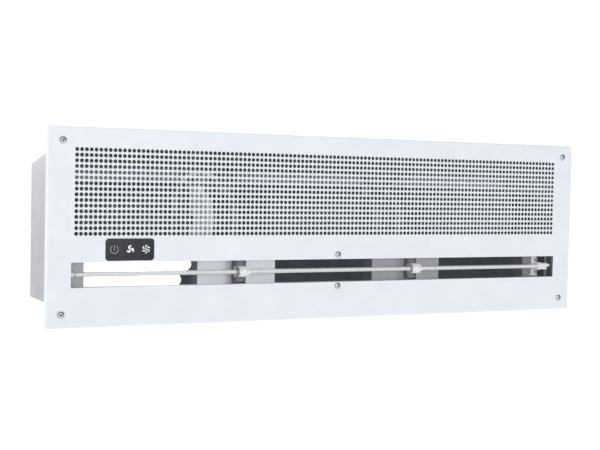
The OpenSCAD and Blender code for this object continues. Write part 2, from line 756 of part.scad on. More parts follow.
// The right end runs past its support and ends in a tapered finger grip
module vane_end_right() {
  grip = slot_w / 2 - vane_right_x;
  color([0.95, 0.95, 0.95]) translate([vane_right_x, vane_y, slot_z]) {
    rod_x(-journal_w / 2 - 1, -journal_w / 2, vane_end_r, 0, 0);
    rod_x(-journal_w / 2, journal_w / 2, journal_r, 0, 0);
    star(journal_w / 2, journal_w / 2 + 3, vane_end_r);
    rod_x(journal_w / 2 + 3, grip, vane_end_r - 0.4, 0, 0, 1.2);
  }
}

bracket_screw_r = 1.5;
bracket_screw_step = 10;
bracket_screw_x = [vane_left_x, vane_right_x + 2];
bracket_h = slot_h - 2;
foot_lap = 3; // a strip's foot stands this far out on each side

// An open ring round the journal on an arm that runs back to y1
module vane_ring(x, y1) {
  difference() {
    union() {
      rod_x(x - bracket_w / 2, x + bracket_w / 2, journal_r + 2.4, vane_y, slot_z);
      block([x - bracket_w / 2, vane_y, slot_z - 2.5], [x + bracket_w / 2, y1, slot_z + 2.5]);
    }
    rod_x(x - bracket_w, x + bracket_w, journal_r + fit_gap, vane_y, slot_z);
    block([x - bracket_w, vane_y - 3 * journal_r, slot_z - 2.6], [x + bracket_w, vane_y, slot_z + 2.6]);
  }
}

// An end bracket: a strip with a wider foot, screwed on the front of the deck
module vane_end_bracket(x, w, screw_x) {
  low = slot_z - bracket_h / 2;
  difference() {
    union() {
      block([x - w / 2, deck_y - strip_t, low], [x + w / 2, deck_y, slot_z + bracket_h / 2]);
      block([x - w / 2 - foot_lap, deck_y - strip_t, low], [x + w / 2 + foot_lap, deck_y, low + foot_lap]);
    }
    for (s = [-1, 1])
      rod_y(deck_y - 2 * strip_t, deck_y + through, bracket_screw_r + fit_gap,
        screw_x, slot_z + s * bracket_screw_step);
  }
  vane_ring(x, deck_y - strip_t);
}

module vane_bracket_left() {
  color([0.8, 0.8, 0.81]) vane_end_bracket(vane_left_x, 8, bracket_screw_x[0]);
}

module vane_bracket_right() {
  color([0.8, 0.8, 0.81]) vane_end_bracket(vane_right_x, 10, bracket_screw_x[1]);
}

// A middle bracket: a strip behind the deck that spans the recess
module vane_mid_bracket(support_x) {
  x = support_x + journal_l + journal_w / 2;
  color([0.8, 0.8, 0.81]) {
    block([x - bracket_w / 2, deck_back, throat_bottom - deck_margin],
      [x + bracket_w / 2, deck_back + strip_t, throat_top + deck_margin]);
    vane_ring(x, deck_back);
  }
}

module vane_bracket_mid_left() {
  vane_mid_bracket(supports[0]);
}

module vane_bracket_mid_right() {
  vane_mid_bracket(supports[1]);
}

module bracket_screws() {
  color([0.7, 0.71, 0.73]) for (x = bracket_screw_x, s = [-1, 1])
    translate([x, deck_y - strip_t, slot_z + s * bracket_screw_step]) {
      rod_y(-bracket_screw_r, 0, 2 * bracket_screw_r, 0, 0);
      rod_y(0, strip_t + deck_t, bracket_screw_r - fit_gap, 0, 0);
    }
}

// ---- Light tubes ----

// A rod from x0 to x1 whose right end is a half ball that reaches x1
module round_ended_rod(x0, x1, r, z) {
  rod_x(x0, x1 - r, r, tube_y, z);
  translate([x1 - r, tube_y, z]) sphere(r);
}

// A glass tube, open at the end that sits in the holder
module light_tube(z, length) {
  end = collar_left + length;
  color([1, 1, 1]) difference() {
    round_ended_rod(tube_start, end, tube_r, z);
    round_ended_rod(tube_start - through, end - glass_t, tube_r - glass_t, z);
  }
}

module light_tube_upper() {
  light_tube(tube_z + tube_spread, tube_upper_len);
}

module light_tube_lower() {
  light_tube(tube_z - tube_spread, tube_lower_len);
}

// A block on the left end plate with a cup for each tube
module tube_holder() {
  wall = 1.6;
  left = -box_w / 2 + box_t;
  color([0.9, 0.9, 0.9]) difference() {
    block([left, deck_back + 0.5, tube_z - tube_spread - tube_r - wall],
      [collar_left - casing_t - 1, tube_y + tube_r + wall, tube_z + tube_spread + tube_r + wall]);
    for (s = [-1, 1])
      rod_x(tube_start, collar_left, tube_r + fit_gap, tube_y, tube_z + s * tube_spread);
  }
}

// ---- Electrical parts at the right end ----

// Two capacitors that stand out from the right end plate, each with two flat terminals
module run_capacitors() {
  right = box_w / 2 - box_t;
  tab = [5, 6, 0.8];
  color([0.9, 0.9, 0.88]) for (z = capacitor_z) {
    rod_x(right - capacitor_len, right, capacitor_r, capacitor_y, z);
    for (s = [-1, 1]) translate([right - capacitor_len - tab.x / 2, capacitor_y + s * 5, z])
      cube([tab.x + 0.1, tab.y, tab.z], center = true);
  }
}

// Spring clips round the capacitors, on the end plate
module capacitor_clips() {
  right = box_w / 2 - box_t;
  clip_w = 16;
  clip_t = 1.2;
  clip_gap = 6;
  color([0.7, 0.7, 0.72]) for (z = capacitor_z) difference() {
    rod_x(right - clip_w, right, capacitor_r + clip_t, capacitor_y, z);
    rod_x(right - clip_w - through, right + through, capacitor_r + fit_gap, capacitor_y, z);
    block([right - clip_w - through, capacitor_y - 2 * capacitor_r, z - clip_gap / 2],
      [right + through, capacitor_y, z + clip_gap / 2]);
  }
}

// A cover over the supply terminals, open on the side that lies on the right end plate
module terminal_box() {
  wall = terminal_wall * [1, 1, 1];
  color([0.75, 0.75, 0.76]) difference() {
    block(terminal_low, terminal_high);
    block(terminal_low + wall, terminal_high - wall + [terminal_wall + through, 0, 0]);
    translate([terminal_lead.x, terminal_lead.y, terminal_high.z - 2 * terminal_wall])
      cylinder(h = 4 * terminal_wall, r = lead_r + lead_gap);
  }
}

module terminal_block() {
  screw_hole_d = 5;
  color([0.93, 0.93, 0.9]) difference() {
    block(block_low, block_low + block_size);
    for (k = [0:3]) translate(block_low + [block_size.x / 2, (k + 0.5) * terminal_step, block_size.z - 2])
      cylinder(h = 2 + through, r = screw_hole_d / 2);
  }
}

// A gland through the right end plate, with a flange outside and a nut inside
module cable_gland() {
  right = box_w / 2;
  color([0.15, 0.15, 0.16]) difference() {
    union() {
      rod_x(right - box_t, right, gland_thread_r, gland_y, gland_z);
      rod_x(right, right + 4, gland_thread_r + 3, gland_y, gland_z);
      rod_x(right + 4, right + 12, gland_thread_r + 1.5, gland_y, gland_z);
      rod_x(right - box_t - 5, right - box_t, gland_thread_r + 3, gland_y, gland_z);
    }
    rod_x(right - 3 * gland_thread_r, right + 3 * gland_thread_r, gland_bore / 2, gland_y, gland_z);
  }
}

// ---- Leads ----

// A point on the smooth curve through the route, at the parameter u from 0 to its last index
function route_point(route, u) = let (
  last = len(route) - 1,
  i = min(floor(u), last - 1),
  t = u - i,
  p0 = route[max(i - 1, 0)], p1 = route[i], p2 = route[i + 1], p3 = route[min(i + 2, last)]
) 0.5 * ((2 * p1) + (p2 - p0) * t + (2 * p0 - 5 * p1 + 4 * p2 - p3) * t * t
  + (3 * p1 - p0 - 3 * p2 + p3) * t * t * t);
function unit(v) = v / norm(v);

// A round lead swept along a route
module lead(route) {
  sides = 8;
  steps = 6;
  count = (len(route) - 1) * steps;
  path = [for (k = [0:count]) route_point(route, k / steps)];
  rings = [for (k = [0:count]) let (
    along = unit(path[min(k + 1, count)] - path[max(k - 1, 0)]),
    side = unit(cross(along, [0.1, -0.3, 1])),
    up = cross(side, along)
  ) [for (s = [0:sides - 1]) path[k] + lead_r * (cos(360 * s / sides) * side + sin(360 * s / sides) * up)]];
  color([0.95, 0.95, 0.95]) polyhedron(
    [for (ring = rings) for (p = ring) p],
    [
      [for (s = [0:sides - 1]) s],
      [for (s = [0:sides - 1]) count * sides + sides - 1 - s],
      for (k = [0:count - 1], s = [0:sides - 1]) [
        k * sides + s, (k + 1) * sides + s, (k + 1) * sides + (s + 1) % sides, k * sides + (s + 1) % sides
      ]
    ]
  );
}

face_panel();
mounting_flange();
box_wrap();
end_plate_left();
end_plate_right();
panel_standoffs();
corner_screws();
slot_screws();
touch_lens();
control_housing();
control_board();
outlet_deck();
collar_left();
collar_middle();
collar_right();
fan_casing(fans[0]);  // fan_casing_left
fan_casing(fans[1]);  // fan_casing_middle
fan_casing(fans[2]);  // fan_casing_right
blower_wheel(fans[0]);  // blower_wheel_left
blower_wheel(fans[1]);  // blower_wheel_middle
blower_wheel(fans[2]);  // blower_wheel_right
motor_shell(motor_x[0]);  // motor_shell_left
motor_shell(motor_x[1]);  // motor_shell_right
motor_stator(motor_x[0]);  // motor_stator_left
motor_stator(motor_x[1]);  // motor_stator_right
motor_bearings(motor_x[0]);  // motor_bearings_left
motor_bearings(motor_x[1]);  // motor_bearings_right
motor_rotor(motor_x[0]);  // motor_rotor_left
motor_rotor(motor_x[1]);  // motor_rotor_right
drive_shaft_left();
drive_shaft_right();
motor_saddle(motor_x[0]);  // motor_saddle_left
motor_saddle(motor_x[1]);  // motor_saddle_right
motor_bands(motor_x[0]);  // motor_bands_left
motor_bands(motor_x[1]);  // motor_bands_right
vane_blade();
vane_coupler(supports[0]);  // vane_coupler_left
vane_coupler(supports[1]);  // vane_coupler_right
vane_end_left();
vane_end_right();
vane_bracket_left();
vane_bracket_mid_left();
vane_bracket_mid_right();
vane_bracket_right();
bracket_screws();
light_tube_upper();
light_tube_lower();
tube_holder();
run_capacitors();
capacitor_clips();
terminal_box();
terminal_block();
cable_gland();
lead(control_lead_route);  // control_lead
lead(motor_lead_route);  // motor_lead
lead(supply_lead_route);  // supply_lead
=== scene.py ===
import math

import bmesh
import bpy
from mathutils import Matrix, Vector
from mathutils.geometry import delaunay_2d_cdt


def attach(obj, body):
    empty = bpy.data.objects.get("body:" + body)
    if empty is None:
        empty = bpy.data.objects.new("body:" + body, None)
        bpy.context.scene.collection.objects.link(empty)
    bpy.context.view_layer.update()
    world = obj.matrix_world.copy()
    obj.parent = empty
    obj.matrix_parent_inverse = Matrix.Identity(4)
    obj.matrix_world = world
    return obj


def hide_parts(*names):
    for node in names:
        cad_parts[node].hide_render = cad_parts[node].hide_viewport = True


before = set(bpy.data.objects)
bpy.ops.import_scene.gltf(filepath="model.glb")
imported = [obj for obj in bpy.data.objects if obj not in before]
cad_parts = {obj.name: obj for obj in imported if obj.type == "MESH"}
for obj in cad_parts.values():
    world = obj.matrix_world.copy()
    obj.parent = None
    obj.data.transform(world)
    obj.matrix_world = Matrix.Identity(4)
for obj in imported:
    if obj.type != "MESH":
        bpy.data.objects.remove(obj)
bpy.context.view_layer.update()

# All sizes below are in millimetres, in the CAD frame: +X width, +Y into the wall, +Z up. They become metres in
# piece(). The capitals repeat sizes of the CAD source.
MM = 0.001
FRONT = -12.0                               # the panel's front face
PANEL_W, PANEL_H, PANEL_T = 930.0, 287.0, 1.2
HOLE_COLUMNS, HOLE_ROWS = 122, 16
HOLE_PITCH_X, HOLE_PITCH_Z = 7.0, 8.0
SLOT_Z, SLOT_W, SLOT_H = -67.5, 860.0, 36.0
LENS_X, LENS_Z = -343.75, -31.5             # the middle of the touch lens
LENS_W, LENS_H = 73.5, 32.2
LENS_CUT_W, LENS_CUT_H = 69.5, 28.2         # the lens laps 2 mm over its cut-out in the panel
CORNER_SCREW_X, CORNER_SCREW_Z = 444, 123.5
SLOT_SCREWS_Z = (-42.7, -92.3)
FAN_Y, FAN_Z = 114.24, 8.0                  # the axis of both rotors
MOTORS = (-164.25, 141.25)                  # the middle of each motor
SUPPORTS = (-157.0, 154.0)                  # each click coupler of the vane
VANE_ENDS = (-427.0, 405.0)                 # the vane's left and right end piece
BEARER_SCREWS = (-427.0, 407.0)             # the screws that hold the brackets of those ends
BEARER_SCREW_DZ = 10                        # how far those screws are from the vane's axis
BOX_HALF_W, BOX_DEPTH, BOX_HALF_H = 436, 206, 119
BOX_T = 1.2
BOX_LEVEL, BOX_SLOPE = 48, math.radians(10.05)    # the top is level so far back, and then falls
HANGER_X, HANGER_Z, HANGER_R = 150, 75, 4.5       # the four hanger holes in the rear wall
GLAND = (436.0, 168.0, -30.0)               # where its axis meets the right end plate
GLAND_HOLE_R = 8.5
scene = bpy.context.scene


# ---- Mesh helpers ----

def turns(n):
    """n angles, evenly round a circle."""
    return [2 * math.pi * i / n for i in range(n)]


def rungs(count, steps):
    """Quads across an outline of count points whose second half runs back beside its first."""
    return [(k, k + 1, count - 2 - k, count - 1 - k) for k in range(steps)]


def stand(outline, y):
    """An outline in (x, z), at the depth y."""
    return [(p[0], y, p[1]) for p in outline]


class Shape:
    """Vertices and faces in millimetres, with a material number for each face."""

    def __init__(self):
        self.verts, self.faces, self.mats = [], [], []

    def add(self, verts, faces, mat=0):
        start = len(self.verts)
        self.verts += [tuple(v) for v in verts]
        self.faces += [tuple(i + start for i in f) for f in faces]
        self.mats += [mat] * len(faces)

    def strips(self, loops, mat=0, closed=True, caps=(False, False)):
        """Quads between loops of equally many points, in order, with the end loops filled where caps says so."""
        n = len(loops[0])
        verts = [p for loop in loops for p in loop]
        count = n if closed else n - 1
        faces = [(k * n + i, k * n + (i + 1) % n, (k + 1) * n + (i + 1) % n, (k + 1) * n + i)
                 for k in range(len(loops) - 1) for i in range(count)]
        if caps[0]:
            faces.append(tuple(range(n))[::-1])
        if caps[1]:
            faces.append(tuple((len(loops) - 1) * n + i for i in range(n)))
        self.add(verts, faces, mat)

    def lathe(self, profile, origin, axis=(1, 0, 0), n=32, mat=0, wave=None):
        """Turns (along, radius) points about an axis through origin. wave(angle) is added to each radius."""
        w = Vector(axis).normalized()
        u = Vector((0, 1, 0)) if abs(w.y) < 0.7 else Vector((1, 0, 0))
        u = (u - w * u.dot(w)).normalized()
        v = w.cross(u)
        loops = []
        for t, r in profile:
            radii = [r + (wave(a) if wave else 0) for a in turns(n)]
            loops.append([Vector(origin) + w * t + q * (u * math.cos(a) + v * math.sin(a))
                          for a, q in zip(turns(n), radii)])
        self.strips(loops, mat, caps=(True, True))

    def slab(self, outline, y0, y1, edge):
        """An outline in (x, z) from y0, the front, to y1, with its front and rear edges rounded off by edge."""
        c = [sum(p[i] for p in outline) / len(outline) for i in (0, 1)]
        far = max(math.dist(p, c) for p in outline)

        def inset(d):
            return [[c[i] + (p[i] - c[i]) * (1 - d / far) for i in (0, 1)] for p in outline]
        steps = [(y0, edge), (y0 + 0.3 * edge, 0.3 * edge), (y0 + edge, 0), (y1 - edge, 0), (y1, edge)]
        self.strips([stand(inset(d), y) for y, d in steps], caps=(True, True))

    def block(self, low, high, edge):
        """A box between two corners, with its front and rear edges cut off."""
        x0, y0, z0 = low
        x1, y1, z1 = high

        def rect(d):
            return [(x0 + d, z0 + d), (x1 - d, z0 + d), (x1 - d, z1 - d), (x0 + d, z1 - d)]
        steps = [(y0, edge), (y0 + edge, 0), (y1 - edge, 0), (y1, edge)]
        self.strips([stand(rect(d), y) for y, d in steps], caps=(True, True))


WELD = 2e-6   # in metres: vertices closer than this become one


def piece(name, shape, mats, body="housing", stands_for=(), sharp=32, weld=True):
    """Makes the object of a shape, welds its vertices, turns its faces outward and lets it ride on a body.

    sharp is the angle in degrees from which an edge is shaded as an edge.
    """
    mesh = bpy.data.meshes.new(name)
    mesh.from_pydata([[c * MM for c in v] for v in shape.verts], [], shape.faces)
    for m in mats:
        mesh.materials.append(m)
    mesh.polygons.foreach_set("material_index", shape.mats)
    bm = bmesh.new()
    bm.from_mesh(mesh)
    if weld:
        bmesh.ops.remove_doubles(bm, verts=bm.verts, dist=WELD)
    bmesh.ops.recalc_face_normals(bm, faces=bm.faces)
    bm.to_mesh(mesh)
    bm.free()
    mesh.polygons.foreach_set("use_smooth", [True] * len(mesh.polygons))
    mesh.set_sharp_from_angle(angle=math.radians(sharp))
    obj = bpy.data.objects.new(name, mesh)
    scene.collection.objects.link(obj)
    if stands_for:
        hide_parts(*stands_for)
    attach(obj, body)
    return obj


def round_rect(x, z, w, h, r, n=6):
    """A rectangle with round corners about (x, z), as (x, z) points."""
    pts = []
    for sx, sz, a0 in ((1, 1, 0), (-1, 1, 90), (-1, -1, 180), (1, -1, 270)):
        for k in range(n + 1):
            a = math.radians(a0 + 90 * k / n)
            pts.append((x + sx * (w / 2 - r) + r * math.cos(a), z + sz * (h / 2 - r) + r * math.sin(a)))
    return pts


def ring(x, z, r, n=24):
    """A circle about (x, z), as n points."""
    return [(x + r * math.cos(a), z + r * math.sin(a)) for a in turns(n)]


def inside(p, loop):
    """Whether a point lies inside an outline, by counting the edges that a line from it crosses."""
    hit = False
    for (x0, z0), (x1, z1) in zip(loop, loop[1:] + loop[:1]):
        if (z0 > p[1]) != (z1 > p[1]) and p[0] < (x1 - x0) * (p[1] - z0) / (z1 - z0) + x0:
            hit = not hit
    return hit


def plate(outer, holes):
    """Triangles that fill an outline in (x, z) around its holes: (points, faces)."""
    pts, edges = [], []
    for loop in [outer] + holes:
        start, n = len(pts), len(loop)
        pts += [Vector(p) for p in loop]
        edges += [(start + i, start + (i + 1) % n) for i in range(n)]
    everything, tolerance = 0, 1e-5
    verts, _, faces, _, _, _ = delaunay_2d_cdt(pts, edges, [], everything, tolerance)
    kept = []
    for f in faces:
        c = [sum(verts[i][j] for i in f) / len(f) for j in (0, 1)]
        if inside(c, outer) and not any(inside(c, h) for h in holes):
            kept.append(tuple(f))
    return verts, kept


def smooth_route(points):
    """The curve that the CAD leads follow: a Catmull-Rom spline through the same points."""
    out = []
    per = 10
    last = len(points) - 1
    for i in range(last):
        p = [Vector(points[j]) for j in (max(i - 1, 0), i, i + 1, min(i + 2, last))]
        for k in range(per):
            t = k / per
            out.append(0.5 * (2 * p[1] + (p[2] - p[0]) * t + (2 * p[0] - 5 * p[1] + 4 * p[2] - p[3]) * t * t
                              + (3 * p[1] - p[0] - 3 * p[2] + p[3]) * t ** 3))
    return out + [Vector(points[-1])]


def tube_along(shape, path, r):
    """A round tube along a path, with closed ends. Each loop's side follows from the one before it."""
    side = None
    across = Vector((0.1, -0.3, 1))   # any direction that no lead starts in
    loops = []
    for k, p in enumerate(path):
        along = (path[min(k + 1, len(path) - 1)] - path[max(k - 1, 0)]).normalized()
        side = (along.cross(across) if side is None else side - along * side.dot(along)).normalized()
        up = along.cross(side)
        loops.append([p + r * (math.cos(a) * side + math.sin(a) * up) for a in turns(16)])
    shape.strips(loops, caps=(True, True))


# ---- Materials ----

TONE_OCTAVES, FINE_OCTAVES = 3.0, 2.0   # detail of the colour noise, and of the roughness and bump noises
ROUGH_SCALE, BUMP_SCALE = 2.3, 8        # how much finer than the colour noise these two are
SPANGLE_SCALE = 230.0                   # crystals of a zinc coat per metre
BUMP_DEPTH = 0.0002                     # in metres


def linear(c):
    """An sRGB colour, 0 to 255, as Blender's linear colour."""
    return tuple(((v / 255 + 0.055) / 1.055) ** 2.4 if v > 10 else v / 255 / 12.92 for v in c) + (1.0,)


def stuff(name, low, high, rough, scale, metal=0.0, stretch=(1, 1, 1), bump=0.0, bump_scale=None, spangle=0.0,
          coat=0.0, glow=0.0, ior=1.45, ramp=(), axis=0, anisotropic=0.0):
    """A procedural material. Its colour moves between two sRGB values with a noise, its roughness with another,
    and a fine bump adds grain, orange peel or a moulded texture. spangle adds the crystals of a zinc coat, glow
    is light of the colour itself, and ramp multiplies the colour along an axis: (place in mm, factor) pairs.
    """
    m = bpy.data.materials.new(name)
    m.use_nodes = True
    nodes, link = m.node_tree.nodes, m.node_tree.links.new
    nodes.clear()
    out = nodes.new("ShaderNodeOutputMaterial")
    bsdf = nodes.new("ShaderNodeBsdfPrincipled")
    link(bsdf.outputs[0], out.inputs[0])
    where = nodes.new("ShaderNodeTexCoord")
    move = nodes.new("ShaderNodeMapping")
    move.inputs["Scale"].default_value = stretch
    link(where.outputs["Object"], move.inputs["Vector"])

    def noise(size, octaves):
        n = nodes.new("ShaderNodeTexNoise")
        n.inputs["Scale"].default_value = size
        n.inputs["Detail"].default_value = octaves
        link(move.outputs[0], n.inputs["Vector"])
        return n.outputs["Fac"]

    def spread(value, a, b, low_in=0.3, high_in=0.7):
        """value from its low to its high, which for a noise is where nearly all of it lies, as a to b."""
        n = nodes.new("ShaderNodeMapRange")
        n.inputs["From Min"].default_value, n.inputs["From Max"].default_value = low_in, high_in
        n.inputs["To Min"].default_value, n.inputs["To Max"].default_value = a, b
        link(value, n.inputs["Value"])
        return n.outputs[0]

    def mix(kind, fac, a, b):
        n = nodes.new("ShaderNodeMix")
        n.data_type, n.blend_type = "RGBA", kind
        for socket, value in ((n.inputs[0], fac), (n.inputs[6], a), (n.inputs[7], b)):
            if isinstance(value, (tuple, float, int)):
                socket.default_value = value
            else:
                link(value, socket)
        return n.outputs[2]

    tone = spread(noise(scale, TONE_OCTAVES), 0.0, 1.0)
    height = noise(bump_scale or scale * BUMP_SCALE, FINE_OCTAVES)
    if spangle:
        cells = nodes.new("ShaderNodeTexVoronoi")
        cells.inputs["Scale"].default_value = SPANGLE_SCALE
        link(move.outputs[0], cells.inputs["Vector"])
        grey = nodes.new("ShaderNodeSeparateColor")
        link(cells.outputs["Color"], grey.inputs[0])
        tone = mix("MIX", spangle, tone, grey.outputs[0])
    colour = mix("MIX", tone, linear(low), linear(high))
    if ramp:
        axes = nodes.new("ShaderNodeSeparateXYZ")
        link(where.outputs["Object"], axes.inputs[0])
        band = nodes.new("ShaderNodeValToRGB")
        lo, hi = ramp[0][0], ramp[-1][0]
        place = spread(axes.outputs[axis], 0.0, 1.0, lo * MM, hi * MM)
        link(place, band.inputs[0])
        stops = band.color_ramp.elements
        while len(stops) < len(ramp):
            stops.new(1.0)
        for e, (x, f) in zip(stops, ramp):
            e.position, e.color = (x - lo) / (hi - lo), (f, f, f, 1.0)
        colour = mix("MULTIPLY", 1.0, colour, band.outputs[0])
    link(colour, bsdf.inputs["Base Color"])
    link(spread(noise(scale * ROUGH_SCALE, FINE_OCTAVES), *rough), bsdf.inputs["Roughness"])
    bsdf.inputs["Metallic"].default_value = metal
    bsdf.inputs["Coat Weight"].default_value = coat
    bsdf.inputs["Anisotropic"].default_value = anisotropic
    bsdf.inputs["IOR"].default_value = ior
    if glow:
        link(colour, bsdf.inputs["Emission Color"])
        bsdf.inputs["Emission Strength"].default_value = glow
    if bump:
        n = nodes.new("ShaderNodeBump")
        n.inputs["Strength"].default_value = bump
        n.inputs["Distance"].default_value = BUMP_DEPTH
        link(height, n.inputs["Height"])
        link(n.outputs[0], bsdf.inputs["Normal"])
    return m


CASING_SHEET = {"rough": (0.5, 0.65), "scale": 35, "bump": 0.1, "bump_scale": 900}
MOULDED = {"rough": (0.4, 0.55), "scale": 110, "bump": 0.12, "bump_scale": 1200}
CLICK_PARTS = {"scale": 120, "bump": 0.08, "bump_scale": 900}
# The enamel's glow is painted light.
ENAMEL = {"rough": (0.35, 0.5), "scale": 90, "bump": 0.2, "bump_scale": 1000, "glow": 0.95}
GALVANISED = {"rough": (0.42, 0.58), "scale": 30, "spangle": 0.35, "bump": 0.05}
SHEATH = {"rough": (0.42, 0.55), "scale": 150, "bump": 0.1}

# Panel and box
PANEL = stuff("panel_powder_coat", (218, 222, 228), (223, 227, 233), (0.36, 0.46), scale=25, bump=0.12,
              bump_scale=1400)
# The box paint's ramp is painted shade: darker towards the bottom and lighter at the top, as under a light from
# above.
BOX = stuff("box_paint", (176, 177, 182), (183, 184, 189), (0.42, 0.55), scale=18, bump=0.15, bump_scale=1100,
            axis=2, ramp=((-119, 0.84), (-40, 0.87), (40, 0.95), (119, 1.12)))
# The inside of the box glows, which is painted light, and its ramp paints a lit band from 45 to 80 mm up, with
# painted shade above and below it.
INSIDE = stuff("box_inside_painted_light", (98, 100, 104), (108, 110, 114), (0.5, 0.65), scale=40, spangle=0.5, glow=0.45,
               axis=2, ramp=((-119, 0.42), (40, 0.42), (45, 0.95), (80, 0.95), (100, 0.6), (119, 0.45)))
SCREW = stuff("screw_zinc", (172, 174, 178), (186, 188, 192), (0.3, 0.42), metal=1.0, scale=400, bump=0.05)
# The recess is a darker zinc than the head, which is painted shade in the cross.
RECESS_SHADE = stuff("screw_recess_painted_shade", (112, 114, 118), (128, 130, 134), (0.4, 0.55), metal=0.8, scale=300)
LENS = stuff("lens_charcoal", (44, 46, 50), (50, 52, 56), (0.34, 0.44), scale=60, ior=1.25, bump=0.04,
             bump_scale=1500)
INK = stuff("key_white", (226, 228, 231), (236, 238, 240), (0.4, 0.5), scale=300)
INK_DIM = stuff("key_grey", (128, 130, 134), (142, 144, 148), (0.4, 0.5), scale=300)

# Air path. The deck's ramp paints shade beside each coupler and at the darker right end of the slot, and its glow
# is painted light.
DECK = stuff("deck_sheet", (196, 197, 203), (206, 207, 213), (0.48, 0.6), metal=0.1, scale=22, spangle=0.2,
             glow=0.24, ramp=((-436, 0.6), (-404, 0.6), (-300, 0.95), (-188, 0.95), (-177, 0.58), (-149, 0.9),
                              (-147, 0.95), (-90, 0.95), (70, 0.55), (118, 0.55), (136, 0.36), (139, 0.8),
                              (162, 0.8), (163, 0.55), (210, 0.55), (380, 0.34), (409, 0.34), (411, 0.4),
                              (418, 0.34), (423, 0.5), (429, 0.42), (436, 0.46)))
# The casing's glow is painted light. Its ramp paints a lit band along the upper front of the casings, 68 to 90 mm
# up, with painted shade above and below it.
CASING = stuff("casing_sheet", (106, 111, 119), (116, 121, 129), glow=0.9, axis=2,
               ramp=((-119, 0.24), (66.5, 0.24), (68, 0.95), (76, 0.85), (90, 0.5), (119, 0.3)), **CASING_SHEET)
# Both collar sheets are dark as painted shade in the outlets, and their glow is painted light.
SHADE_SHEET = stuff("dark_sheet", (50, 52, 56), (58, 60, 64), glow=1.25, **CASING_SHEET)
DIM = stuff("collar_sheet", (56, 58, 60), (64, 66, 68), glow=1.25, **CASING_SHEET)
# The pan's glow is painted light.
PAN = stuff("pan_sheet", (120, 122, 127), (130, 132, 137), (0.48, 0.6), metal=0.1, scale=60, spangle=0.3,
            glow=0.14)
TUBE = stuff("tube_opal", (248, 249, 250), (253, 253, 254), (0.12, 0.2), scale=40, glow=0.75, coat=0.5)

# Vane and its brackets
# The vane's glow is painted light, and its ramp paints it lighter at the top and darker at the bottom, as under a
# light from above.
VANE = stuff("vane_plastic", (200, 203, 205), (207, 210, 212), (0.4, 0.52), scale=30, stretch=(0.2, 1, 1),
             bump=0.08, bump_scale=500, glow=0.12, axis=2,
             ramp=((-70.3, 0.68), (-69.2, 0.74), (-67.5, 0.88), (-66.0, 1.04), (-64.7, 1.16)))
# The knob's glow is painted light, and the clutch discs take a darker copy of its plastic as painted shade.
KNOB = stuff("knob_plastic", (209, 211, 214), (219, 220, 222), (0.42, 0.54), glow=0.13, **CLICK_PARTS)
CLUTCH = stuff("clutch_plastic", (172, 174, 177), (182, 184, 187), (0.42, 0.55), **CLICK_PARTS)
GREY = stuff("grey_plastic", (168, 170, 173), (180, 182, 185), **MOULDED)
# The pale plastic is a lighter copy of the grey one with a glow, which is painted light on the right bearer.
PALE = stuff("bearer_plastic_painted_light", (196, 198, 201), (206, 208, 211), glow=0.3, **MOULDED)
SMOKE = stuff("smoke_plastic", (84, 86, 90), (94, 96, 100), **MOULDED)

# Rotors and motors. The left motor's end, straps and lead are painted light: lighter, glowing copies of their
# materials make the pale patch behind the holes, and their ramps paint shade beyond it.
# The wheels' glow is painted light.
WHEEL = stuff("wheel_plastic", (46, 48, 52), (54, 56, 60), (0.42, 0.55), scale=140, bump=0.1, glow=1.1)
MOTOR = stuff("motor_enamel", (50, 51, 54), (60, 61, 64), **ENAMEL)
BELL = stuff("motor_bell_painted_light", (124, 126, 130), (136, 138, 142),
             ramp=((-202, 1.0), (-193, 1.0), (-191, 0.12), (-126, 0.12)), **ENAMEL)
IRON = stuff("motor_iron", (116, 92, 70), (150, 122, 94), (0.45, 0.6), metal=0.5, scale=160, stretch=(14, 1, 1),
             bump=0.3)
STEEL = stuff("ground_steel", (170, 171, 174), (194, 195, 198), (0.22, 0.36), metal=1.0, scale=160,
              stretch=(9, 1, 1), bump=0.05, anisotropic=0.4)
ZINC = stuff("zinc_sheet", (158, 160, 165), (182, 184, 189), metal=0.35, **GALVANISED)
CRADLE = stuff("cradle_zinc_painted_light", (176, 178, 182), (196, 198, 202), metal=0.2, glow=0.4,
               ramp=((-197, 1.0), (-179, 1.0), (-160, 0.55), (-150, 0.3), (-131, 0.28)), **GALVANISED)

# Electrical parts
BOARD = stuff("board_green", (20, 92, 58), (34, 112, 72), (0.35, 0.5), scale=260, bump=0.2, bump_scale=900)
BLACK = stuff("gland_nylon", (26, 26, 27), (36, 36, 37), (0.45, 0.6), scale=200, bump=0.2, bump_scale=1200)
LEAD = stuff("lead_sheath", (112, 113, 115), (124, 125, 127), **SHEATH)
# The control lead's sheath is a lighter, glowing copy of the others', which is painted light. Its ramp paints it
# darker below 60 mm up, as painted shade.
LEAD_PAINTED_LIGHT = stuff("lead_sheath_painted_light", (206, 207, 209), (218, 219, 221), glow=0.3, axis=2,
                  ramp=((-30, 0.35), (20, 0.3), (60, 0.4), (70, 0.9), (90, 0.9)), **SHEATH)
CAN = stuff("capacitor_case", (62, 63, 66), (72, 73, 76), (0.35, 0.5), scale=120, bump=0.08)

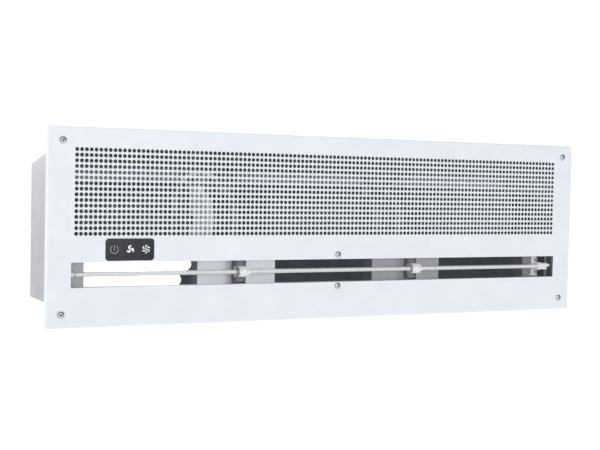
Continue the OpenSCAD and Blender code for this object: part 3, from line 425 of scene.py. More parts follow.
# The left motor's shell, saddle and bands take the lit copies, BELL and CRADLE, which are painted light; the
# right motor's take MOTOR and ZINC.
CAD_LOOKS = {
    "mounting_flange": BOX, "panel_standoffs": ZINC, "control_housing": GREY, "control_board": BOARD,
    "outlet_deck": DECK, "collar_left": DIM, "collar_middle": SHADE_SHEET, "collar_right": SHADE_SHEET,
    "fan_casing_left": CASING, "fan_casing_middle": CASING, "fan_casing_right": CASING,
    "blower_wheel_left": WHEEL, "blower_wheel_middle": WHEEL, "blower_wheel_right": WHEEL,
    "motor_shell_left": BELL, "motor_shell_right": MOTOR,
    "motor_stator_left": IRON, "motor_stator_right": IRON,
    "motor_bearings_left": STEEL, "motor_bearings_right": STEEL,
    "motor_rotor_left": IRON, "motor_rotor_right": IRON,
    "drive_shaft_left": STEEL, "drive_shaft_right": STEEL,
    "motor_saddle_left": CRADLE, "motor_saddle_right": ZINC,
    "motor_bands_left": CRADLE, "motor_bands_right": ZINC, "light_tube_upper": TUBE,
    "light_tube_lower": TUBE, "tube_holder": GREY, "run_capacitors": CAN, "capacitor_clips": ZINC,
    "terminal_box": ZINC, "terminal_block": GREY,
}
for node, look in CAD_LOOKS.items():
    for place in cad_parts[node].material_slots:
        place.link = "OBJECT"
        place.material = look


# ---- Camera, light and floor ----

CAMERA_AT = (-0.86199, -1.58521, 0.07298)     # in metres
CAMERA_TURN = (-26.748, 2.228, 1.204)         # azimuth, elevation and roll, in degrees
FLOOR_Z, FLOOR_R = -2200, 50000               # as far below as a floor is under a unit over a door


def add_camera():
    cam = bpy.data.objects.new("camera", bpy.data.cameras.new("camera"))
    scene.collection.objects.link(cam)
    cam.data.lens, cam.data.sensor_width = 68.0, 36.0
    cam.data.clip_start, cam.data.clip_end = 0.05, 60
    azimuth, elevation, roll = (math.radians(v) for v in CAMERA_TURN)
    back = Vector((math.sin(azimuth) * math.cos(elevation), -math.cos(azimuth) * math.cos(elevation),
                   math.sin(elevation)))
    right = Vector((0, 0, 1)).cross(back).normalized()
    up = back.cross(right)
    side = right * math.cos(roll) + up * math.sin(roll)
    top = up * math.cos(roll) - right * math.sin(roll)
    cam.matrix_world = Matrix.Translation(CAMERA_AT) @ Matrix((side, top, back)).transposed().to_4x4()
    scene.camera = cam


def add_softbox(name, place, aim, size, power):
    """A soft rectangular lamp that the camera doesn't see, in metres and watts."""
    data = bpy.data.lights.new(name, "AREA")
    data.shape, data.size, data.size_y = "RECTANGLE", size[0], size[1]
    data.energy = power
    lamp = bpy.data.objects.new(name, data)
    scene.collection.objects.link(lamp)
    lamp.location = place
    lamp.rotation_euler = (Vector(aim) - Vector(place)).to_track_quat("-Z", "Y").to_euler()
    lamp.visible_camera = False


def add_world():
    """A studio that is white behind the unit and greyer before it, from 0.75 on the left to 0.08 on the right."""
    world = bpy.data.worlds.new("studio")
    world.use_nodes = True
    scene.world = world
    nodes, link = world.node_tree.nodes, world.node_tree.links.new
    way = nodes.new("ShaderNodeTexCoord")
    axes = nodes.new("ShaderNodeSeparateXYZ")
    link(way.outputs["Generated"], axes.inputs[0])
    level = nodes.new("ShaderNodeMapRange")
    across = nodes.new("ShaderNodeMapRange")
    for node, values in ((level, (-0.3, 0.3, 0.0, 1.03)), (across, (-0.6, 0.6, 0.75, 0.08))):
        for socket, value in zip(("From Min", "From Max", "To Min", "To Max"), values):
            node.inputs[socket].default_value = value
    link(axes.outputs[0], across.inputs["Value"])
    link(across.outputs[0], level.inputs["To Min"])
    link(axes.outputs[1], level.inputs["Value"])
    link(level.outputs[0], nodes["Background"].inputs["Strength"])
    nodes["Background"].inputs["Color"].default_value = (1, 1, 1, 1)
    scene.view_settings.view_transform = "Standard"


def add_floor():
    mesh = bpy.data.meshes.new("floor")
    edge = [(x, y, FLOOR_Z) for x, y in ring(0, 0, FLOOR_R, 96)]
    mesh.from_pydata([[c * MM for c in v] for v in edge], [], [tuple(range(len(edge)))])
    mesh.materials.append(stuff("floor_white", (250, 250, 251), (253, 253, 253), (0.8, 0.9), scale=3, glow=0.4))
    floor = bpy.data.objects.new("floor", mesh)
    scene.collection.objects.link(floor)


def add_studio():
    add_world()
    add_softbox("key", (0.4, -4.0, 0.75), (0, 0, 0), (2.0, 1.4), 58.5)
    add_softbox("top", (-0.1, 0.5, 1.5), (0, 0.1, 0), (1.6, 1.0), 13)
    add_softbox("side", (-2.4, 0.3, 1.1), (-0.44, 0.1, 0), (1.0, 1.0), 14.5)
    add_floor()


# ---- Face panel ----

def cross_recess(x, z, arm, half, soft):
    """How deep a Phillips recess is at (x, z) from its middle, from 0 to 1.

    Its arms are arm long and half wide on each side, and soft is the width of their sloping sides.
    """
    def arm_depth(u, v):
        across = (half + soft - abs(v)) / soft
        along = (arm + soft - abs(u)) / (arm * 0.75)
        return max(0.0, min(1.0, across)) * max(0.0, min(1.0, along))
    return max(arm_depth(x, z), arm_depth(z, x))


def screw(shape, x, y, z, turn, head_r=5.0, head_h=2.3, reach=10.0, recess=1.4, n=64, rings=26):
    """A pan-head screw that looks to the front, with a rolled rim, a domed top and a cross recess."""
    shank = head_r * 0.4
    arm, half, soft = 0.4 * head_r, 0.08 * head_r, 0.07 * head_r
    crown_share, crown_power = 0.62, 2.6
    shape.strips([stand(ring(x, z, r, n), y + d) for r, d in ((shank, reach), (shank, 0), (head_r, 0))],
                 caps=(True, False))
    start = len(shape.verts)
    deep = []
    for k in range(rings + 1):
        r = head_r * math.sin(math.pi / 2 * (1 - k / rings)) if k < rings else 0.01
        crown = head_h * (1 - crown_share * (r / head_r) ** crown_power)
        for a in turns(n):
            deep.append(cross_recess(r * math.cos(a - turn), r * math.sin(a - turn), arm, half, soft))
            shape.verts.append((x + r * math.cos(a), y - crown + recess * deep[-1], z + r * math.sin(a)))
    in_recess = 1.6   # the depths of a face's four corners, added up, from which it is the recess
    # Faces in the recess take the second material, the darker zinc that is painted shade.
    for k in range(rings):
        for i in range(n):
            q = (k * n + i, k * n + (i + 1) % n, (k + 1) * n + (i + 1) % n, (k + 1) * n + i)
            shape.faces.append(tuple(start + j for j in q))
            shape.mats.append(1 if sum(deep[j] for j in q) > in_recess else 0)


def add_perforation(shape, x0, z0, back, r):
    """The sheet between the holes, both its faces, and the wall of each hole with a small rolled edge."""
    columns, rows, px, pz = HOLE_COLUMNS, HOLE_ROWS, HOLE_PITCH_X, HOLE_PITCH_Z
    n, roll = 16, 0.14
    spin = [(math.cos(a), math.sin(a)) for a in turns(n)]
    verts, faces = [], []
    for y in (FRONT, back):
        verts += [(x0 + i * px, y, z0 + j * pz) for j in range(rows + 1) for i in range(columns + 1)]
    grid = (columns + 1) * (rows + 1)
    for j in range(rows):
        for i in range(columns):
            cx, cz = x0 + (i + 0.5) * px, z0 + (j + 0.5) * pz
            start = len(verts)
            for y, radius in ((FRONT, r + roll), (FRONT + roll, r), (back, r)):
                verts += [(cx + radius * c, y, cz + radius * s) for c, s in spin]
            corner = j * (columns + 1) + i
            corners = (corner + columns + 2, corner + columns + 1, corner, corner + 1)
            for side, base in ((0, start), (grid, start + 2 * n)):
                for q in range(4):
                    a, b = corners[q] + side, corners[(q + 1) % 4] + side
                    first = q * n // 4
                    faces += [(a, base + (first + k) % n, base + (first + k + 1) % n) for k in range(n // 4)]
                    faces.append((a, base + (first + n // 4) % n, b))
            for k in range(n):
                m = (k + 1) % n
                faces += [(start + t * n + k, start + t * n + m, start + (t + 1) * n + m, start + (t + 1) * n + k)
                          for t in (0, 1)]
    shape.add(verts, faces)


def make_panel():
    """The folded sheet with all 1952 inlet holes."""
    columns, rows, px, pz = HOLE_COLUMNS, HOLE_ROWS, HOLE_PITCH_X, HOLE_PITCH_Z
    top_row_z, hole_r, clearance_r = 111.5, 2.9, 2.3
    bend, lip, corner_r = 2.2, 1.0, 4.0
    soft, flat = 0.3, 0.4   # flat is a narrow level ring round each soft edge, for an even shading of the sheet
    back = FRONT + PANEL_T
    x0, z0 = -columns * px / 2, top_row_z - (rows - 0.5) * pz
    shape = Shape()

    def frame_loop(inset):
        return round_rect(0, 0, PANEL_W - 2 * inset, PANEL_H - 2 * inset, max(corner_r - inset, 0.8), 8)
    cuts = [lambda g: round_rect(0, SLOT_Z, SLOT_W + 2 * g, SLOT_H + 2 * g, 1 + g, 4),
            lambda g: round_rect(LENS_X, LENS_Z, LENS_CUT_W + 2 * g, LENS_CUT_H + 2 * g, 2 + g, 4)]
    corners = [(sx * CORNER_SCREW_X, sz * CORNER_SCREW_Z) for sx in (-1, 1) for sz in (-1, 1)]
    for x, z in corners + [(0, z) for z in SLOT_SCREWS_Z]:
        cuts.append(lambda g, x=x, z=z: ring(x, z, clearance_r + g))
    field = [(x0 + i * px, z0) for i in range(columns)] + [(-x0, z0 + j * pz) for j in range(rows)] \
        + [(-x0 - i * px, z0 + rows * pz) for i in range(columns)] \
        + [(x0, z0 + (rows - j) * pz) for j in range(rows)]
    for y, inset, g in ((FRONT, bend + flat, soft + flat), (back, PANEL_T + lip, 0)):
        verts, faces = plate(frame_loop(inset), [c(g) for c in cuts] + [field])
        shape.add(stand(verts, y), faces)
    for c in cuts:
        shape.strips([stand(c(g), y) for y, g in ((FRONT, soft + flat), (FRONT, soft), (FRONT + 0.08, 0.12),
                                                  (FRONT + soft, 0), (back, 0))])
    steps = [(bend + flat, FRONT)]
    steps += [(bend * (1 - math.sin(a)), FRONT + bend * (1 - math.cos(a)))
              for a in (math.radians(v) for v in (0, 18, 36, 54, 72, 90))]
    steps += [(0, -0.25), (0.25, 0), (PANEL_T - 0.25, 0), (PANEL_T, -0.25), (PANEL_T, back + lip),
              (PANEL_T + 0.3, back + 0.3), (PANEL_T + lip, back)]
    shape.strips([stand(frame_loop(d), y) for d, y in steps])
    add_perforation(shape, x0, z0, back, hole_r)
    piece("perforated_panel", shape, [PANEL], stands_for=["face_panel"], sharp=28)

    heads = Shape()
    for sz, twists in ((1, (0.5, 1.1)), (-1, (0.2, 0.8))):
        for sx, twist in zip((-1, 1), twists):
            screw(heads, sx * CORNER_SCREW_X, FRONT, sz * CORNER_SCREW_Z, twist)
    piece("corner_screw_set", heads, [SCREW, RECESS_SHADE], stands_for=["corner_screws"],
          sharp=45)
    heads = Shape()
    for z, twist in zip(SLOT_SCREWS_Z, (0.9, 0.35)):
        screw(heads, 0, FRONT, z, twist, reach=6.0)
    piece("slot_screw_set", heads, [SCREW, RECESS_SHADE], stands_for=["slot_screws"], sharp=45)


# ---- Touch lens and its keys ----

KEY_FRONT = FRONT - 0.8     # the front of the lens
PRINT_FRONT, PRINT_BACK = KEY_FRONT - 0.06, KEY_FRONT + 0.02


def fill(target, loop, faces=None):
    """A raised print: the outline's two faces and its edge."""
    target.strips([stand(loop, y) for y in (PRINT_FRONT, PRINT_BACK)])
    for y in (PRINT_FRONT, PRINT_BACK):
        target.add(stand(loop, y), faces or [tuple(range(len(loop)))])


def fan_blade(target, cx, cz, a0, r0, r1, sweep, width, root):
    """A blade of a fan sign: a comma that bends as it runs out, from a narrow root to a round tip."""
    n, widest = 16, 0.66
    left, right = [], []
    for k in range(n + 1):
        t = k / n
        rad = r0 + (r1 - r0) * t
        a = math.radians(a0 + sweep * t * t)
        grow = root + (1 - root) * math.sin(min(t, widest) / widest * math.pi / 2)
        half = width * grow * math.sqrt(max(1 - (max(t - widest, 0) / (1 - widest)) ** 2, 0.0))
        p = (cx + rad * math.cos(a), cz + rad * math.sin(a))
        q = (-math.sin(a) * half, math.cos(a) * half)
        left.append((p[0] + q[0], p[1] + q[1]))
        right.append((p[0] - q[0], p[1] - q[1]))
    loop = left + right[-2::-1]
    fill(target, loop, rungs(len(loop), n - 1) + [(n - 1, n, n + 1)])


def fan_sign(name, cx, cz, angles, r0, r1, sweep, width, root):
    sign = Shape()
    for a in angles:
        fan_blade(sign, cx, cz, a, r0, r1, sweep, width, root)
    fill(sign, ring(cx, cz, 1.1, 20))
    piece(name, sign, [INK])


def make_lens():
    shape = Shape()
    steps = [(KEY_FRONT, -0.7), (KEY_FRONT + 0.08, -0.35), (KEY_FRONT + 0.3, -0.08), (KEY_FRONT + 0.6, 0),
             (FRONT, 0), (FRONT, -2.3), (FRONT + PANEL_T, -2.3)]
    shape.strips([stand(round_rect(LENS_X, LENS_Z, LENS_W + 2 * g, LENS_H + 2 * g, 5 + g, 10), y)
                  for y, g in steps], caps=(True, True))
    piece("key_lens", shape, [LENS], stands_for=["touch_lens"])

    power = Shape()
    x, z, r, half, n = -367.4, -31.1, 5.75, 0.62, 48
    angles = [math.radians(124 + 292 * k / n) for k in range(n + 1)]
    loop = [(x + (r + half) * math.cos(a), z + (r + half) * math.sin(a)) for a in angles]
    loop += [(x + (r - half) * math.cos(a), z + (r - half) * math.sin(a)) for a in angles[::-1]]
    fill(power, loop, rungs(len(loop), n))
    fill(power, round_rect(x, z + 2.5, 1.25, 8.2, 0.6, 4))
    piece("key_power", power, [INK_DIM])
    fan_sign("key_fan_low", -343.6, -31.1, (134, 256, 14), 0.3, 6.3, -58, 2.1, 0.3)
    fan_sign("key_fan_high", -319.6, -31.0, [60 * k + 50 for k in range(6)], 1.9, 6.5, -38, 1.2, 0.15)


# ---- Vane ----

def section(scale):
    """The vane's section in (y, z): a flat bar with round edges, in 24 points."""
    chord, thick = 19.0, 5.4
    return [(y * scale, z * scale) for y, z in round_rect(0, 0, chord, thick, 1.5, 5)]


def lobes(count, depth, sharp=1.0):
    """A radius wave for lathe: count rounded teeth, or blunt ones where sharp is below 1."""
    return lambda a: depth * math.copysign(abs(math.cos(count * a)) ** sharp, math.cos(count * a))


def make_vane_lengths():
    """The three lengths of the bar, with a fine groove near each end. Each ends at a coupler or an end piece."""
    before, after, brim = 16.5, 8.5, 4   # how far from the middle of a coupler or an end piece
    left, right = SUPPORTS
    groove = ((0, 0.88), (0.4, 0.97), (0.9, 1.0), (5, 1.0), (5.1, 0.97), (5.7, 0.97), (5.8, 1.0))
    blade = Shape()
    for a, b in ((VANE_ENDS[0] + brim, left - before), (left + after, right - before),
                 (right + after, VANE_ENDS[1] - brim)):
        steps = [(a + d, size) for d, size in groove] + [(b - d, size) for d, size in groove[::-1]]
        blade.strips([[(x, y, SLOT_Z + z) for y, z in section(size)] for x, size in steps], caps=(True, True))
    piece("vane_lengths", blade, [VANE], "vane", ["vane_blade"], sharp=40)


def make_coupler(name, node, x):
    """A click coupler: clutch discs, a toothed knob, a brim, and a ribbed nose that runs into the next length."""
    knob = Shape()
    at = (x, 0, SLOT_Z)
    for a in (-16.5, -15.2):
        knob.lathe([(a, 5.6), (a + 0.1, 8.1), (a + 0.25, 8.5), (a + 0.5, 8.4), (a + 0.7, 5.6)], at, n=112,
                   mat=1, wave=lobes(14, 0.4))
    knob.lathe([(-16.2, 6.2), (-14.5, 6.2)], at, n=48, mat=1)
    knob.lathe([(-14.6, 4.5), (-9.8, 4.5)], at, mat=1)
    knob.lathe([(-9.9, 4.6), (-9.7, 7.2), (-9.0, 7.8), (-7.6, 8.2), (-6.4, 8.2), (-5.8, 7.8), (-5.4, 7.3),
                (-4.9, 7.3), (-4.5, 7.9), (-3.4, 8.3), (-2.0, 8.3), (-0.6, 8.0), (0.4, 7.5), (1.0, 6.9),
                (1.6, 6.5)], at, n=108, wave=lobes(9, 0.35, 0.7))
    for k in range(9):
        a0, dog = 2 * math.pi * (k + 0.5) / 9, []
        for t, r0, r1, half in ((-9.4, 5.2, 8.2, 0.26), (-10.6, 5.4, 7.9, 0.1)):
            dog += [(x + t, r * math.cos(a0 + g), SLOT_Z + r * math.sin(a0 + g))
                    for r, g in ((r0, -half), (r1, -half), (r1, half), (r0, half))]
        knob.add(dog, [(0, 1, 2, 3), (7, 6, 5, 4), (0, 4, 5, 1), (1, 5, 6, 2), (2, 6, 7, 3), (3, 7, 4, 0)])
    knob.lathe([(1.4, 6.2), (1.7, 8.3), (2.2, 9.0), (3.4, 9.0), (4.0, 8.3), (4.2, 6.2)], at, n=96,
               wave=lobes(8, 0.6, 0.7))
    nose = []
    for t, flat, size in ((3.4, 0.0, 6.5), (4.2, 0.0, 6.1), (5.0, 0.25, 5.6), (6.0, 0.55, 5.2),
                          (7.0, 0.85, 5.0), (7.8, 1.0, 4.9), (8.4, 1.0, 4.7)):
        loop = []
        for k, (y, z) in enumerate(section(size / 5.0)):
            a = math.radians(15 * k + 7.5)
            loop.append((x + t, size * math.cos(a) * (1 - flat) + y * flat,
                         SLOT_Z + size * math.sin(a) * (1 - flat) + z * flat))
        nose.append(loop)
    knob.strips(nose, caps=(True, True))
    for q in range(4):
        a = math.radians(45 + 90 * q)
        c, s = math.cos(a), math.sin(a)
        knob.add([(x + t, r * c - side * 0.5 * s, SLOT_Z + r * s + side * 0.5 * c)
                  for t, r in ((3.2, 3.0), (3.2, 7.9), (5.0, 7.0), (8.2, 3.8), (8.2, 1.5)) for side in (-1, 1)],
                 [(0, 2, 4, 6, 8), (9, 7, 5, 3, 1), (0, 1, 3, 2), (2, 3, 5, 4), (4, 5, 7, 6), (6, 7, 9, 8),
                  (8, 9, 1, 0)])
    piece(name, knob, [KNOB, CLUTCH], "vane", [node], sharp=40, weld=False)


def make_grip(x):
    """The right end piece: a journal, a toothed brim, two fingers and four ribs across the upper one."""
    grip = Shape()
    at = (x, 0, SLOT_Z)
    grip.lathe([(-4, 5.8), (-3.8, 6.2), (-3.2, 6.3), (-3, 5.6)], at, n=48)
    grip.lathe([(-3.02, 4.45), (3.02, 4.45)], at)
    grip.lathe([(3, 5.0), (3.2, 5.8), (3.7, 6.2), (5.3, 6.2), (5.8, 5.8), (6, 5.0)], at, n=96,
               wave=lobes(12, 0.35, 0.7))
    upper = ((410.5, 0.0, -67.4, 4.6, 5.0), (412.0, 0.0, -67.0, 4.9, 5.4), (416.0, -0.3, -66.6, 4.7, 5.2),
             (421.0, -1.0, -66.1, 4.1, 4.4), (425.0, -1.8, -66.0, 3.2, 3.2), (428.0, -2.4, -66.1, 1.9, 2.0),
             (429.6, -2.7, -66.3, 0.9, 1.0), (430.0, -2.8, -66.4, 0.3, 0.3))
    lower = ((410.5, -0.4, -69.6, 3.4, 3.6), (414.0, -0.6, -70.3, 3.4, 3.4), (418.5, -1.0, -71.0, 2.8, 2.8),
             (422.0, -1.6, -71.6, 1.9, 2.0), (424.6, -2.0, -72.1, 0.9, 1.0), (425.2, -2.1, -72.2, 0.3, 0.3))
    for finger in (upper, lower):   # its middle (x, y, z), and its half height and half depth there
        grip.strips([[(px, y + ry * math.cos(a), z + rz * math.sin(a) * (1 + 0.05 * math.cos(6 * a)))
                      for a in turns(40)] for px, y, z, rz, ry in finger], caps=(True, True))
    for k in range(4):
        rib_x = 413.0 + 2.6 * k
        grip.strips([[(rib_x + d, -0.4 - 0.1 * k + (5.3 - 0.35 * k + g) * math.cos(a),
                       -66.6 + 0.15 * k + (4.95 - 0.25 * k + g) * math.sin(a))
                      for a in (math.radians(100 + 5 * i) for i in range(27))]
                     for d, g in ((-0.5, -0.5), (-0.3, 0.2), (0.3, 0.2), (0.5, -0.5))], closed=False)
    piece("vane_grip", grip, [KNOB], "vane", ["vane_end_right"], weld=False, sharp=40)


def make_vane():
    make_vane_lengths()
    for side, x in zip(("left", "right"), SUPPORTS):
        make_coupler("vane_click_" + side, "vane_coupler_" + side, x)
    end = Shape()
    at = (VANE_ENDS[0], 0, SLOT_Z)
    end.lathe([(-3, 3.9), (-2.7, 4.4), (3.02, 4.45)], at)
    end.lathe([(3, 4.4), (3.2, 5.0), (3.8, 5.1), (4, 4.8)], at, n=48)
    piece("vane_pivot_left", end, [KNOB], "vane", ["vane_end_left"], weld=False)
    make_grip(VANE_ENDS[1])


# ---- Vane brackets ----

def snap_ring(shape, x, w, back):
    """An open ring round the journal, with lead-in lips at its mouth, on an arm that runs back."""
    outer, inner, mouth, n = 6.9, 4.6, 34, 36   # mouth is half its opening, in degrees
    first, last = math.radians(180 + mouth), math.radians(180 - mouth + 360)
    span = [first + (last - first) * k / n for k in range(n + 1)]
    loops = []
    for px, grow in ((x - w / 2, 0.3), (x - w / 2 + 0.3, 0), (x + w / 2 - 0.3, 0), (x + w / 2, 0.3)):
        loops.append([(px, r * math.cos(a), SLOT_Z + r * math.sin(a))
                      for r, angles in ((outer - grow, span), (inner + grow, span[::-1])) for a in angles])
    shape.strips(loops)
    for line in (loops[0], loops[-1]):
        shape.add(line, rungs(len(line), n))
    for s in (-1, 1):
        a = math.radians(180 + s * mouth)
        mid = (outer + inner) / 2
        shape.lathe([(-w / 2 + 0.1, 0.9), (-w / 2 + 0.4, 1.25), (w / 2 - 0.4, 1.25), (w / 2 - 0.1, 0.9)],
                    (x, mid * math.cos(a), SLOT_Z + mid * math.sin(a)), n=20)
    shape.block((x - w / 2, outer - 1.6, SLOT_Z - 2.5), (x + w / 2, back, SLOT_Z + 2.5), 0.25)


def make_recess_pan(side, support):
    """The small folded pan behind a coupler, in the deck's gap, with three rivets down its flat side."""
    pan = Shape()
    thick, bevel, flat_y = 0.9, 0.5, 13.6
    fold = [(-8.2, flat_y), (-8.0, 17.2), (-6.8, 18.4), (6.4, 18.4), (7.8, 17.8), (9.4, 14.4), (10.6, flat_y),
            (20, flat_y)]
    rows = []
    for z, d in ((-85.2, 0.0), (-84.8, bevel), (-50.2, bevel), (-49.8, 0.0)):
        rows.append([(support + u, v - (0.0 if v < 14 else bevel - d), z) for u, v in fold]
                    + [(support + u, v + thick - (bevel - d), z) for u, v in fold[::-1]])
    pan.strips(rows)
    for row in (rows[0], rows[-1]):
        pan.add(row, rungs(len(row), len(fold) - 1))
    for z in (-80.0, SLOT_Z, -55.0):
        pan.lathe([(0.0, 1.7), (-0.4, 1.5), (-0.7, 0.8)], (support + 15.0, flat_y, z), (0, 1, 0), n=20)
    piece("recess_pan_" + side, pan, [PAN], weld=False)


def make_brackets():
    low, high = SLOT_Z - 17, SLOT_Z + 17
    front, back = 10, 12   # the faces of an end bracket's plate
    # The right bearer takes the lighter, glowing copy of the left one's grey plastic, which is painted light.
    for side, x, w, screw_x, look in zip(("left", "right"), VANE_ENDS, (8.0, 10.0), BEARER_SCREWS, (GREY, PALE)):
        shape = Shape()
        shape.slab(round_rect(x, (low + high) / 2, w, high - low, 1.2, 4), front, back, 0.35)
        shape.slab(round_rect(x, low + 1.1, w + 6, 2.2, 0.8, 4), front, back, 0.35)
        for s in (-1, 1):
            shape.lathe([(0, 3.9), (-0.25, 3.8), (-0.3, 3.3)], (screw_x, front, SLOT_Z + BEARER_SCREW_DZ * s),
                        (0, 1, 0), n=32)
        snap_ring(shape, x, 5.4, front + 0.2)
        piece("vane_bearer_" + side, shape, [look], stands_for=["vane_bracket_" + side],
              weld=False)
    for side, support in zip(("left", "right"), SUPPORTS):
        shape, x = Shape(), support - 11.5
        shape.block((x - 2.7, 13.2, SLOT_Z - 27.5), (x + 2.7, 15.2, SLOT_Z + 25.5), 0.3)
        snap_ring(shape, support - 12.6, 2.4, 13.4)
        piece("vane_bearer_mid_" + side, shape, [SMOKE],
              stands_for=["vane_bracket_mid_" + side], weld=False)
        make_recess_pan(side, support)
    heads = Shape()
    for x in BEARER_SCREWS:
        for s in (-1, 1):
            screw(heads, x, front, SLOT_Z + BEARER_SCREW_DZ * s, 0.4 + s * 0.3, head_r=2.8, head_h=1.5,
                  reach=3.0, recess=0.9, n=40, rings=14)
    piece("bracket_screw_set", heads, [SCREW, RECESS_SHADE], stands_for=["bracket_screws"],
          sharp=45)


# ---- Leads and gland ----

def over_can(x, turn, away):
    """A place over a motor's can, in a plane across its axis: turn degrees from straight up, to the rear."""
    a, can_r = math.radians(turn), 42
    return (x, FAN_Y + (can_r + away) * math.sin(a), FAN_Z + (can_r + away) * math.cos(a))


def make_leads():
    """The three inner leads, along the routes of the CAD, with a tie at every sixteenth step."""
    m0, m1 = MOTORS
    e = Vector((-307.7, -2, -26.5))   # where control_lead leaves the control housing
    routes = {
        "control_lead": [e, e + Vector((9, 0.5, 1)), e + Vector((21, 7, 6)), e + Vector((35, 18, 14)),
                         (m0 - 98, 30.45, 12), (m0 - 94, 34.45, 45), (m0 - 82, 36.45, 70),
                         (m0 - 58, 40.45, 82), (m0 - 32, 52.45, 80), (m0 - 12, 72.45, 72),
                         over_can(m0, -15, 12), over_can(m0, -15, 0.8)],
        "motor_lead": [over_can(m0 + 7, 10, 0.8), over_can(m0 + 7, 10, 12), (m0 + 24, 140.24, 84.02),
                       (m0 + 64, 150.24, 91.02), (-0.5, 152.24, 91.02), (m1 - 51, 150.24, 91.02),
                       (m1 - 15, 140.24, 84.02), over_can(m1, 10, 12), over_can(m1, 10, 0.8)],
        "supply_lead": [over_can(m1 + 7, -10, 0.8), over_can(m1 + 7, -10, 12), (m1 + 23, 74.45, 84.02),
                        (200, 54.45, 94.02), (290, 52.45, 95.02), (370, 58.45, 92.02), (396.6, 84.45, 72.02),
                        (400.6, 123.5, 48), (400.6, 156.5, 20), (400.6, 160.5, -14.7), (400.6, 160.5, -44.7)],
    }
    for name, points in routes.items():
        path = smooth_route([Vector(p) for p in points])
        shape = Shape()
        tube_along(shape, path, r=2.55)
        for k in range(8, len(path) - 6, 16):
            along = (path[k + 1] - path[k - 1]).normalized()
            shape.lathe([(-1.6, 2.5), (-1.4, 3.0), (1.4, 3.0), (1.6, 2.5)], path[k], along, n=24, mat=1)
        # The control lead takes the lit copy of the sheath, which is painted light.
        look = LEAD_PAINTED_LIGHT if name == "control_lead" else LEAD
        piece(name + "_sheath", shape, [look, BLACK], stands_for=[name], weld=False)


def make_gland():
    shape = Shape()
    at = GLAND
    bore = 6.5

    def bored(steps, sides=0, cut=0.0):
        """A ring round the bore, or a nut with so many sides, from (along, radius) steps. cut narrows it all."""
        loops = []
        for t, r in [(steps[0][0], bore)] + steps + [(steps[-1][0], bore)]:
            loop = []
            for a in turns(96):
                radius = r - cut
                if sides and r > bore:
                    sector = 2 * math.pi / sides
                    flat = math.cos(sector / 2) / math.cos((a + sector / 2) % sector - sector / 2)
                    radius = min(r * flat, radius)
                loop.append((at[0] + t, at[1] + radius * math.cos(a), at[2] + radius * math.sin(a)))
            loops.append(loop)
        shape.strips(loops + [loops[0]])
    bored([(-1.2, GLAND_HOLE_R), (0.0, GLAND_HOLE_R)])
    bored([(-6.2, 11.0), (-5.8, 11.5), (-1.7, 11.5), (-1.2, 11.0)], 6, 0.35)
    bored([(0.0, 11.0), (0.3, 11.5), (3.6, 11.5), (4.0, 11.0)], 6, 0.35)
    bored([(4.0, 9.3), (4.3, 9.8), (9.0, 9.9), (11.0, 9.0), (11.8, 8.0), (12.0, 7.2)])
    for a in turns(20):
        c, s = math.cos(a), math.sin(a)
        shape.add([(at[0] + t, at[1] + r * c - q * s, at[2] + r * s + q * c)
                   for t, r in ((4.6, 9.6), (4.8, 10.0), (8.8, 10.0), (9.2, 9.6)) for q in (-0.35, 0.35)],
                  [(0, 2, 4, 6), (7, 5, 3, 1), (0, 1, 3, 2), (2, 3, 5, 4), (4, 5, 7, 6)])
    piece("gland_nut", shape, [BLACK], stands_for=["cable_gland"], weld=False, sharp=25)


# ---- Box ----

BEND_R, BEND_STEPS = 2.0, 6
WRAP_HALF_W = BOX_HALF_W - BOX_T
SLOPE = math.tan(BOX_SLOPE)


def box_outline(inset):
    """The box's outline in (y, z), moved in by inset, with round bends, from the lower front to the upper."""
    rear_top = BOX_HALF_H - (BOX_DEPTH - BOX_LEVEL) * SLOPE
    corners = [Vector(p) for p in ((0, -BOX_HALF_H), (BOX_DEPTH, -BOX_HALF_H), (BOX_DEPTH, rear_top),
                                   (BOX_LEVEL, BOX_HALF_H), (0, BOX_HALF_H))]
    r = BEND_R - inset
    pts = [(0, -BOX_HALF_H + inset)]
    for before, corner, after in zip(corners, corners[1:], corners[2:]):
        a, b = (before - corner).normalized(), (after - corner).normalized()
        open_half = a.angle(b) / 2
        centre = corner + (a + b).normalized() * (BEND_R / math.sin(open_half))
        u = (corner + a * (BEND_R / math.tan(open_half)) - centre).normalized() * r
        v = (corner + b * (BEND_R / math.tan(open_half)) - centre).normalized() * r
        for j in range(BEND_STEPS + 1):
            f = j / BEND_STEPS
            pts.append(tuple(centre + (u * (1 - f) + v * f).normalized() * r))
    return pts + [(0, BOX_HALF_H - inset)]


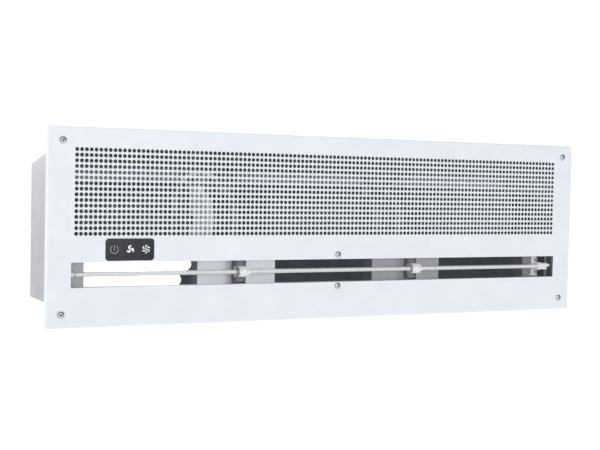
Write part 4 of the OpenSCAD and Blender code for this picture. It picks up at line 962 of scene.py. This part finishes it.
def make_wrapper(holes):
    """The bent sheet of the box, with its hanger holes: material 0 outside, 1 inside."""
    half = WRAP_HALF_W
    rear = 1 + BEND_STEPS   # this point of the outline and the next bound the flat rear wall
    outer, inner = box_outline(0), box_outline(BOX_T)
    shape = Shape()
    for pts, mat in ((outer, 0), (inner, 1)):
        for k, ((y0, z0), (y1, z1)) in enumerate(zip(pts, pts[1:])):
            if k != rear:
                shape.add([(-half, y0, z0), (half, y0, z0), (half, y1, z1), (-half, y1, z1)], [(0, 1, 2, 3)], mat)
    for pts, mat in ((outer, 0), (inner, 1)):
        y, z0, z1 = pts[rear][0], pts[rear][1], pts[rear + 1][1]
        verts, faces = plate([(-half, z0), (half, z0), (half, z1), (-half, z1)],
                             [ring(x, z, HANGER_R) for x, z in holes])
        shape.add(stand(verts, y), faces, mat)
    for x, z in holes:
        shape.strips([stand(ring(x, z, HANGER_R), y) for y in (BOX_DEPTH, BOX_DEPTH - BOX_T)])
    for x in (-half, half):
        n = len(outer)
        shape.add([(x, y, z) for y, z in outer + inner], [(k, k + 1, n + k + 1, n + k) for k in range(n - 1)])
    for a, b in ((outer[0], inner[0]), (outer[-1], inner[-1])):
        shape.add([(-half, *a), (half, *a), (half, *b), (-half, *b)], [(0, 1, 2, 3)])
    piece("box_wrapper", shape, [BOX, INSIDE], stands_for=["box_wrap"])


def make_end_plate(side, s):
    """An end plate with a rounded outer edge. s is -1 at the left, and 1 at the right, where the gland is."""
    shape = Shape()
    middle, edge = BOX_DEPTH / 2, 0.4
    x_in, x_out = s * WRAP_HALF_W, s * BOX_HALF_W

    def inset(d):
        return [(middle + (y - middle) * (1 - d / middle), z * (1 - d / BOX_HALF_H)) for y, z in box_outline(0)]
    holes = [ring(GLAND[1], GLAND[2], GLAND_HOLE_R, 32)] if s > 0 else []
    for x, d, mat in ((x_out, edge, 0), (x_in, 0, 1)):
        verts, faces = plate(inset(d), holes)
        shape.add([(x, v[0], v[1]) for v in verts], faces, mat)
    shape.strips([[(x, y, z) for y, z in inset(d)] for x, d in ((x_out, edge), (x_out - s * edge, 0), (x_in, 0))])
    for hole in holes:
        shape.strips([[(x, y, z) for y, z in hole] for x in (x_out, x_in)])
    piece("box_end_" + side, shape, [BOX, INSIDE], stands_for=["end_plate_" + side])


def make_box():
    """The wrapper and end plates, and the rivets and hanger cups, which only the scene has."""
    holes = [(sx * HANGER_X, sz * HANGER_Z) for sx in (-1, 1) for sz in (-1, 1)]
    make_wrapper(holes)
    make_end_plate("left", -1)
    make_end_plate("right", 1)

    rivets, rivet_x = Shape(), 428.5
    spots = [(y, BOX_HALF_H, (0, 0, 1)) for y in (12, 36)]   # (y, z, normal), along both ends of the box
    spots += [(y, -BOX_HALF_H, (0, 0, -1)) for y in (20, 65, 110, 155, 190)]
    spots += [(y, BOX_HALF_H - (y - BOX_LEVEL) * SLOPE, (0, math.sin(BOX_SLOPE), math.cos(BOX_SLOPE)))
              for y in (75, 120, 165, 195)]
    for x in (-rivet_x, rivet_x):
        for y, z, normal in spots:
            rivets.lathe([(-0.1, 3.1), (0.3, 3.05), (0.8, 2.5), (1.15, 1.6), (1.3, 0.5)], (x, y, z), normal,
                         n=24)
    piece("box_rivets", rivets, [SCREW])
    cups = Shape()
    for x, z in holes:
        cups.lathe([(-11.2, 6.6), (-10.6, 7.2), (0, 7.8), (0, 10.5), (-0.8, 10.5), (-0.8, 8.6), (-11.2, 8.0),
                    (-12, 7.2)], (x, BOX_DEPTH - BOX_T, z), (0, 1, 0), n=40)
    piece("hanger_cups", cups, [CASING])


add_camera()
add_studio()
make_panel()
make_lens()
make_vane()
make_brackets()
make_leads()
make_gland()
make_box()
